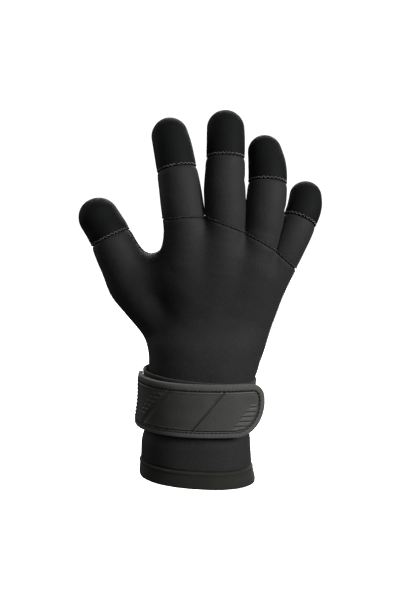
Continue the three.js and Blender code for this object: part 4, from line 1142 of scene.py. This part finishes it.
def stitches(name, rows, tree, finish, length, thickness, slant=0.0, arch=0.25):
    """Threads of a finish on points: rows of places, directions and normals, all in millimetres."""
    points, along, out = (np.vstack([row[i] for row in rows]) for i in range(3))
    mesh = bpy.data.meshes.new(name + "_points")
    mesh.from_pydata((points * MM).tolist(), [], [])
    set_vectors(mesh, "along", along)
    set_vectors(mesh, "out", out)
    carrier = place(name + "_points", mesh)
    modifier = carrier.modifiers.new("stitches", "NODES")
    modifier.node_group = tree
    values = {
        "Length": length * MM,
        "Thickness": thickness * MM,
        "Arch": arch * MM,
        "Slant": slant,
        "Seed": bpy.context.scene.glove_sizes.seed,
        "Material": finishes()[finish],
    }
    for item in tree.interface.items_tree:
        if item.in_out == "INPUT" and item.name in values:
            modifier[item.identifier] = values[item.name]
    carrier.update_tag()
    bpy.context.view_layer.update()
    ready = carrier.evaluated_get(bpy.context.evaluated_depsgraph_get())
    result = bpy.data.meshes.new_from_object(ready)
    bpy.data.objects.remove(carrier)
    result.name = name
    result.polygons.foreach_set("use_smooth", [True] * len(result.polygons))
    item = place(name, result)
    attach(item, "root")


def slope_of(distance, points, probe=0.1):
    """The unit slope of a distance at each point."""
    grid = np.concatenate([points + s * probe * a for a in np.eye(3) for s in (1, -1)])
    values = distance(grid).reshape(3, 2, -1)
    return unit((values[:, 0] - values[:, 1]).T)


def walk(surface, seam, start, pitch, keep=None, most=600):
    """Evenly spaced points where a seam's surface meets the glove's, from a point near it."""

    def settle(point):
        for _ in range(4):
            for distance in (seam, surface):
                here = distance(point[None])[0]
                point = point - here * slope_of(distance, point[None])[0]
        return point

    point = first = settle(np.asarray(start, float))
    places, along, out = [], [], []
    while len(places) < most and (keep is None or keep(point)):
        normal = slope_of(surface, point[None])[0]
        ahead = unit(np.cross(normal, slope_of(seam, point[None])[0]))
        places.append(point)
        along.append(ahead)
        out.append(normal)
        point = settle(point + ahead * pitch)
        if len(places) > 6 and np.linalg.norm(point - first) < pitch * 0.6:
            break
    return np.array(places), np.array(along), np.array(out)


class GLOVE_OT_seam_stitches(bpy.types.Operator):
    """Sew the panel seams with small slanted stitches"""

    bl_idname = "glove.seam_stitches"
    bl_label = "Seam stitches"

    def execute(self, context):
        sizes = context.scene.glove_sizes
        pitch = sizes.stitch_pitch / MM
        tree = stitch_tree()

        def surface(points):
            return hand_distance(points, sizes.seam_waist / MM)[0] + undulation(points) - 0.05

        rows = []
        for name in DIGITS:
            start = TIP_SEAMS[name][0] - np.array([0, DIGITS[name]["size"][1] / 2, 0])
            rows.append(walk(surface, lambda p: past_tip_seam(name, p) - TIP_STITCH, start, pitch))
        stitches("tip_seam_stitches", rows, tree, "thread", 1.7, 0.4, 0.75)

        # Above the knuckle seam, both ways from the middle finger, on the back and on the palm
        rows = []
        for side in (-1, 1):
            start = np.array([10.0, side * 22, WRIST_HEIGHT + 1.04 * PALM_LENGTH])

            def on_side(point):
                return behind_side_seam(point[None])[0] * side > 1.0

            for way in (1, -1):
                seam = lambda p: way * (above_knuckles(p) - KNUCKLE_STITCH)
                rows.append(walk(surface, seam, start, pitch, on_side))
        stitches("knuckle_seam_stitches", rows, tree, "dark_thread", 1.3, 0.36, 0.6)

        def in_panel(point):
            spot = point[None]
            if over_opening(spot)[0] < HEM_HEIGHT + 1 or above_knuckles(spot)[0] > -0.5:
                return False
            return point[0] > -35 or past_tip_seam("thumb", spot)[0] < -0.5

        # On both sides of the side seam, both ways from the cuff's left, its right and the thumb's web
        rows = []
        for cut in (SIDE_STITCH, -SIDE_STITCH):
            for way in (1, -1):
                for start in ((-42.0, 8, 30), (44.0, 2, 30), (-22.0, 5, 175)):
                    seam = lambda p: way * (behind_side_seam(p) - cut)
                    rows.append(walk(surface, seam, start, pitch * 1.4, in_panel))
        stitches("side_seam_stitches", rows, tree, "strap_thread", 1.4, 0.35, 0.9)
        return {"FINISHED"}


class GLOVE_OT_strap_stitches(bpy.types.Operator):
    """Sew the strap's binding and the hem"""

    bl_idname = "glove.strap_stitches"
    bl_label = "Strap stitches"

    def execute(self, context):
        pitch = context.scene.glove_sizes.strap_pitch / MM
        tree = stitch_tree()

        def outward(at):
            normal = strap_frame(at)[1]
            return np.column_stack([normal, np.zeros(len(normal))])

        line = strap_outline(STRAP_STITCH_INSET, pitch)[0]
        spots = on_strap(line[:, 0], line[:, 1], np.full(len(line), STRAP_STITCH_TOP))
        rows = [(spots, unit(np.gradient(spots, axis=0)), outward(line[:, 0]))]
        # Two rows across the strap's start, where it is sewn to the elastic ring
        edge = np.arange(-13.5, 14, pitch)
        for start in (3.5, 6.5):
            at = np.full(len(edge), start)
            spots = on_strap(at, edge, np.full(len(edge), FACE_FOOT + FACE_THICKNESS + 0.05))
            rows.append((spots, np.tile(UP, (len(edge), 1)), outward(at)))
        stitches("strap_stitches", rows, tree, "strap_thread", 2.1, 0.7, arch=0.6)

        lift = np.array([(HEM_HEIGHT - 1.6) / OPENING_NORMAL[2]])
        spots = np.array([on_hem(angle, [0.78], lift)[0] for angle in turns_of(104)])
        along = unit(np.roll(spots, -1, 0) - np.roll(spots, 1, 0))
        rows = [(spots, along, np.cross(along, UP))]
        stitches("hem_stitches", rows, tree, "strap_thread", 1.9, 0.4)
        return {"FINISHED"}


# Studio

CAMERA_TARGET = Vector((0.0023, 0, 0.1371))
CAMERA_DISTANCE = 1.15
CAMERA_ELEVATION = 11
CAMERA_LENS = 92.0
# Azimuth and elevation in degrees, distance and size in metres, power in watts
SOFTBOXES = {
    "key_softbox": (57, 26, 1.9, 0.8, 62),
    "front_softbox": (5, 25, 2.0, 1.0, 9),
    "fill_softbox": (-120, 20, 2.0, 1.2, 10),
    "back_softbox": (172, 25, 2.0, 1.4, 50),
}


def stand(name, data, azimuth, elevation, distance):
    """A light or a camera that stands round the glove, aimed at it."""
    a, e = math.radians(azimuth), math.radians(elevation)
    out = Vector((math.sin(a) * math.cos(e), -math.cos(a) * math.cos(e), math.sin(e)))
    turned = out.to_track_quat("Z", "Y").to_matrix().to_4x4()
    item = place(name, data)
    item.matrix_world = Matrix.Translation(CAMERA_TARGET + out * distance) @ turned
    return item


class GLOVE_OT_stage(bpy.types.Operator):
    """Set up the pale floor, the soft light and the camera"""

    bl_idname = "glove.stage"
    bl_label = "Studio"

    def execute(self, context):
        scene = context.scene
        scene.world = scene.world or bpy.data.worlds.new("studio")
        scene.world.use_nodes = True
        tree = scene.world.node_tree
        feed(tree, tree.nodes["Background"], {0: (1, 1, 1, 1), 1: 0.05})
        paper, tree, shader = new_material("matt_studio_paper")
        cloth = add(tree, "ShaderNodeTexCoord").outputs["Object"]
        grain = add(tree, NOISE, {"Vector": cloth, "Scale": 40.0})
        shade = add(tree, MATH, {0: grain, 1: 0.02, 2: 0.99}, operation="MULTIPLY_ADD")
        tint = add(tree, VECTOR, {0: scene.glove_colours.paper[:3], "Scale": shade}, operation="SCALE")
        feed(tree, shader, {"Base Color": tint, "Roughness": 0.95})
        feed(tree, shader, {"Emission Color": (1, 1, 1, 1), "Emission Strength": 1.1})
        # A round floor that sweeps up into a dome, as one white paper cove, in metres
        profile = [(0.0, -0.25), (3.0, -0.25), (5.5, -0.2), (7.2, 0.4), (8.0, 2.0), (7.6, 4.5), (5.0, 7.0), (0.0, 8.0)]
        rings = smooth_rows(profile, 6)[1:-1] / MM
        turns = 64
        angle = turns_of(turns)
        round_it = [np.outer(rings[:, 0], np.cos(angle)), np.outer(rings[:, 0], np.sin(angle))]
        corners = np.stack([*round_it, np.repeat(rings[:, 1:], turns, 1)], -1)
        faces = ring_faces(len(rings), turns, False)
        faces += [[*range(turns)], [(len(rings) - 1) * turns + i for i in range(turns)][::-1]]
        cove = mesh_object("studio_floor", corners.reshape(-1, 3), faces, paper)
        cove.visible_diffuse = cove.visible_glossy = cove.visible_shadow = False
        for name, (azimuth, elevation, distance, size, power) in SOFTBOXES.items():
            light = bpy.data.lights.new(name, "AREA")
            light.shape, light.size, light.energy = "SQUARE", size, power
            stand(name, light, azimuth, elevation, distance)
        camera = bpy.data.cameras.new("camera")
        camera.lens, camera.sensor_width = CAMERA_LENS, 36
        scene.camera = stand("camera", camera, 0, CAMERA_ELEVATION, CAMERA_DISTANCE)
        scene.view_settings.view_transform = "Standard"
        return {"FINISHED"}


STEPS = (
    GLOVE_OT_hand,
    GLOVE_OT_fingers,
    GLOVE_OT_hem,
    GLOVE_OT_under_band,
    GLOVE_OT_strap,
    GLOVE_OT_seam_stitches,
    GLOVE_OT_strap_stitches,
    GLOVE_OT_stage,
)


class GLOVE_PT_panel(bpy.types.Panel):
    """Lists the glove's pieces, sizes and colours"""

    bl_idname = "GLOVE_PT_panel"
    bl_label = "Diving Glove"
    bl_space_type = "VIEW_3D"
    bl_region_type = "UI"
    bl_category = "Glove"

    def draw(self, context):
        for step in STEPS:
            self.layout.operator(step.bl_idname)
        for group in (context.scene.glove_sizes, context.scene.glove_colours):
            for key in group.__annotations__:
                self.layout.prop(group, key)


CLASSES = (GloveSizes, GloveColours, *STEPS, GLOVE_PT_panel)


def register():
    for item in CLASSES:
        bpy.utils.register_class(item)
    bpy.types.Scene.glove_sizes = PointerProperty(type=GloveSizes)
    bpy.types.Scene.glove_colours = PointerProperty(type=GloveColours)


def unregister():
    del bpy.types.Scene.glove_colours
    del bpy.types.Scene.glove_sizes
    for item in reversed(CLASSES):
        bpy.utils.unregister_class(item)


def main():
    register()
    bpy.ops.glove.hand()
    bpy.ops.glove.fingers()
    bpy.ops.glove.hem()
    bpy.ops.glove.under_band()
    bpy.ops.glove.strap()
    bpy.ops.glove.seam_stitches()
    bpy.ops.glove.strap_stitches()
    bpy.ops.glove.stage()


if __name__ == "__main__":
    main()
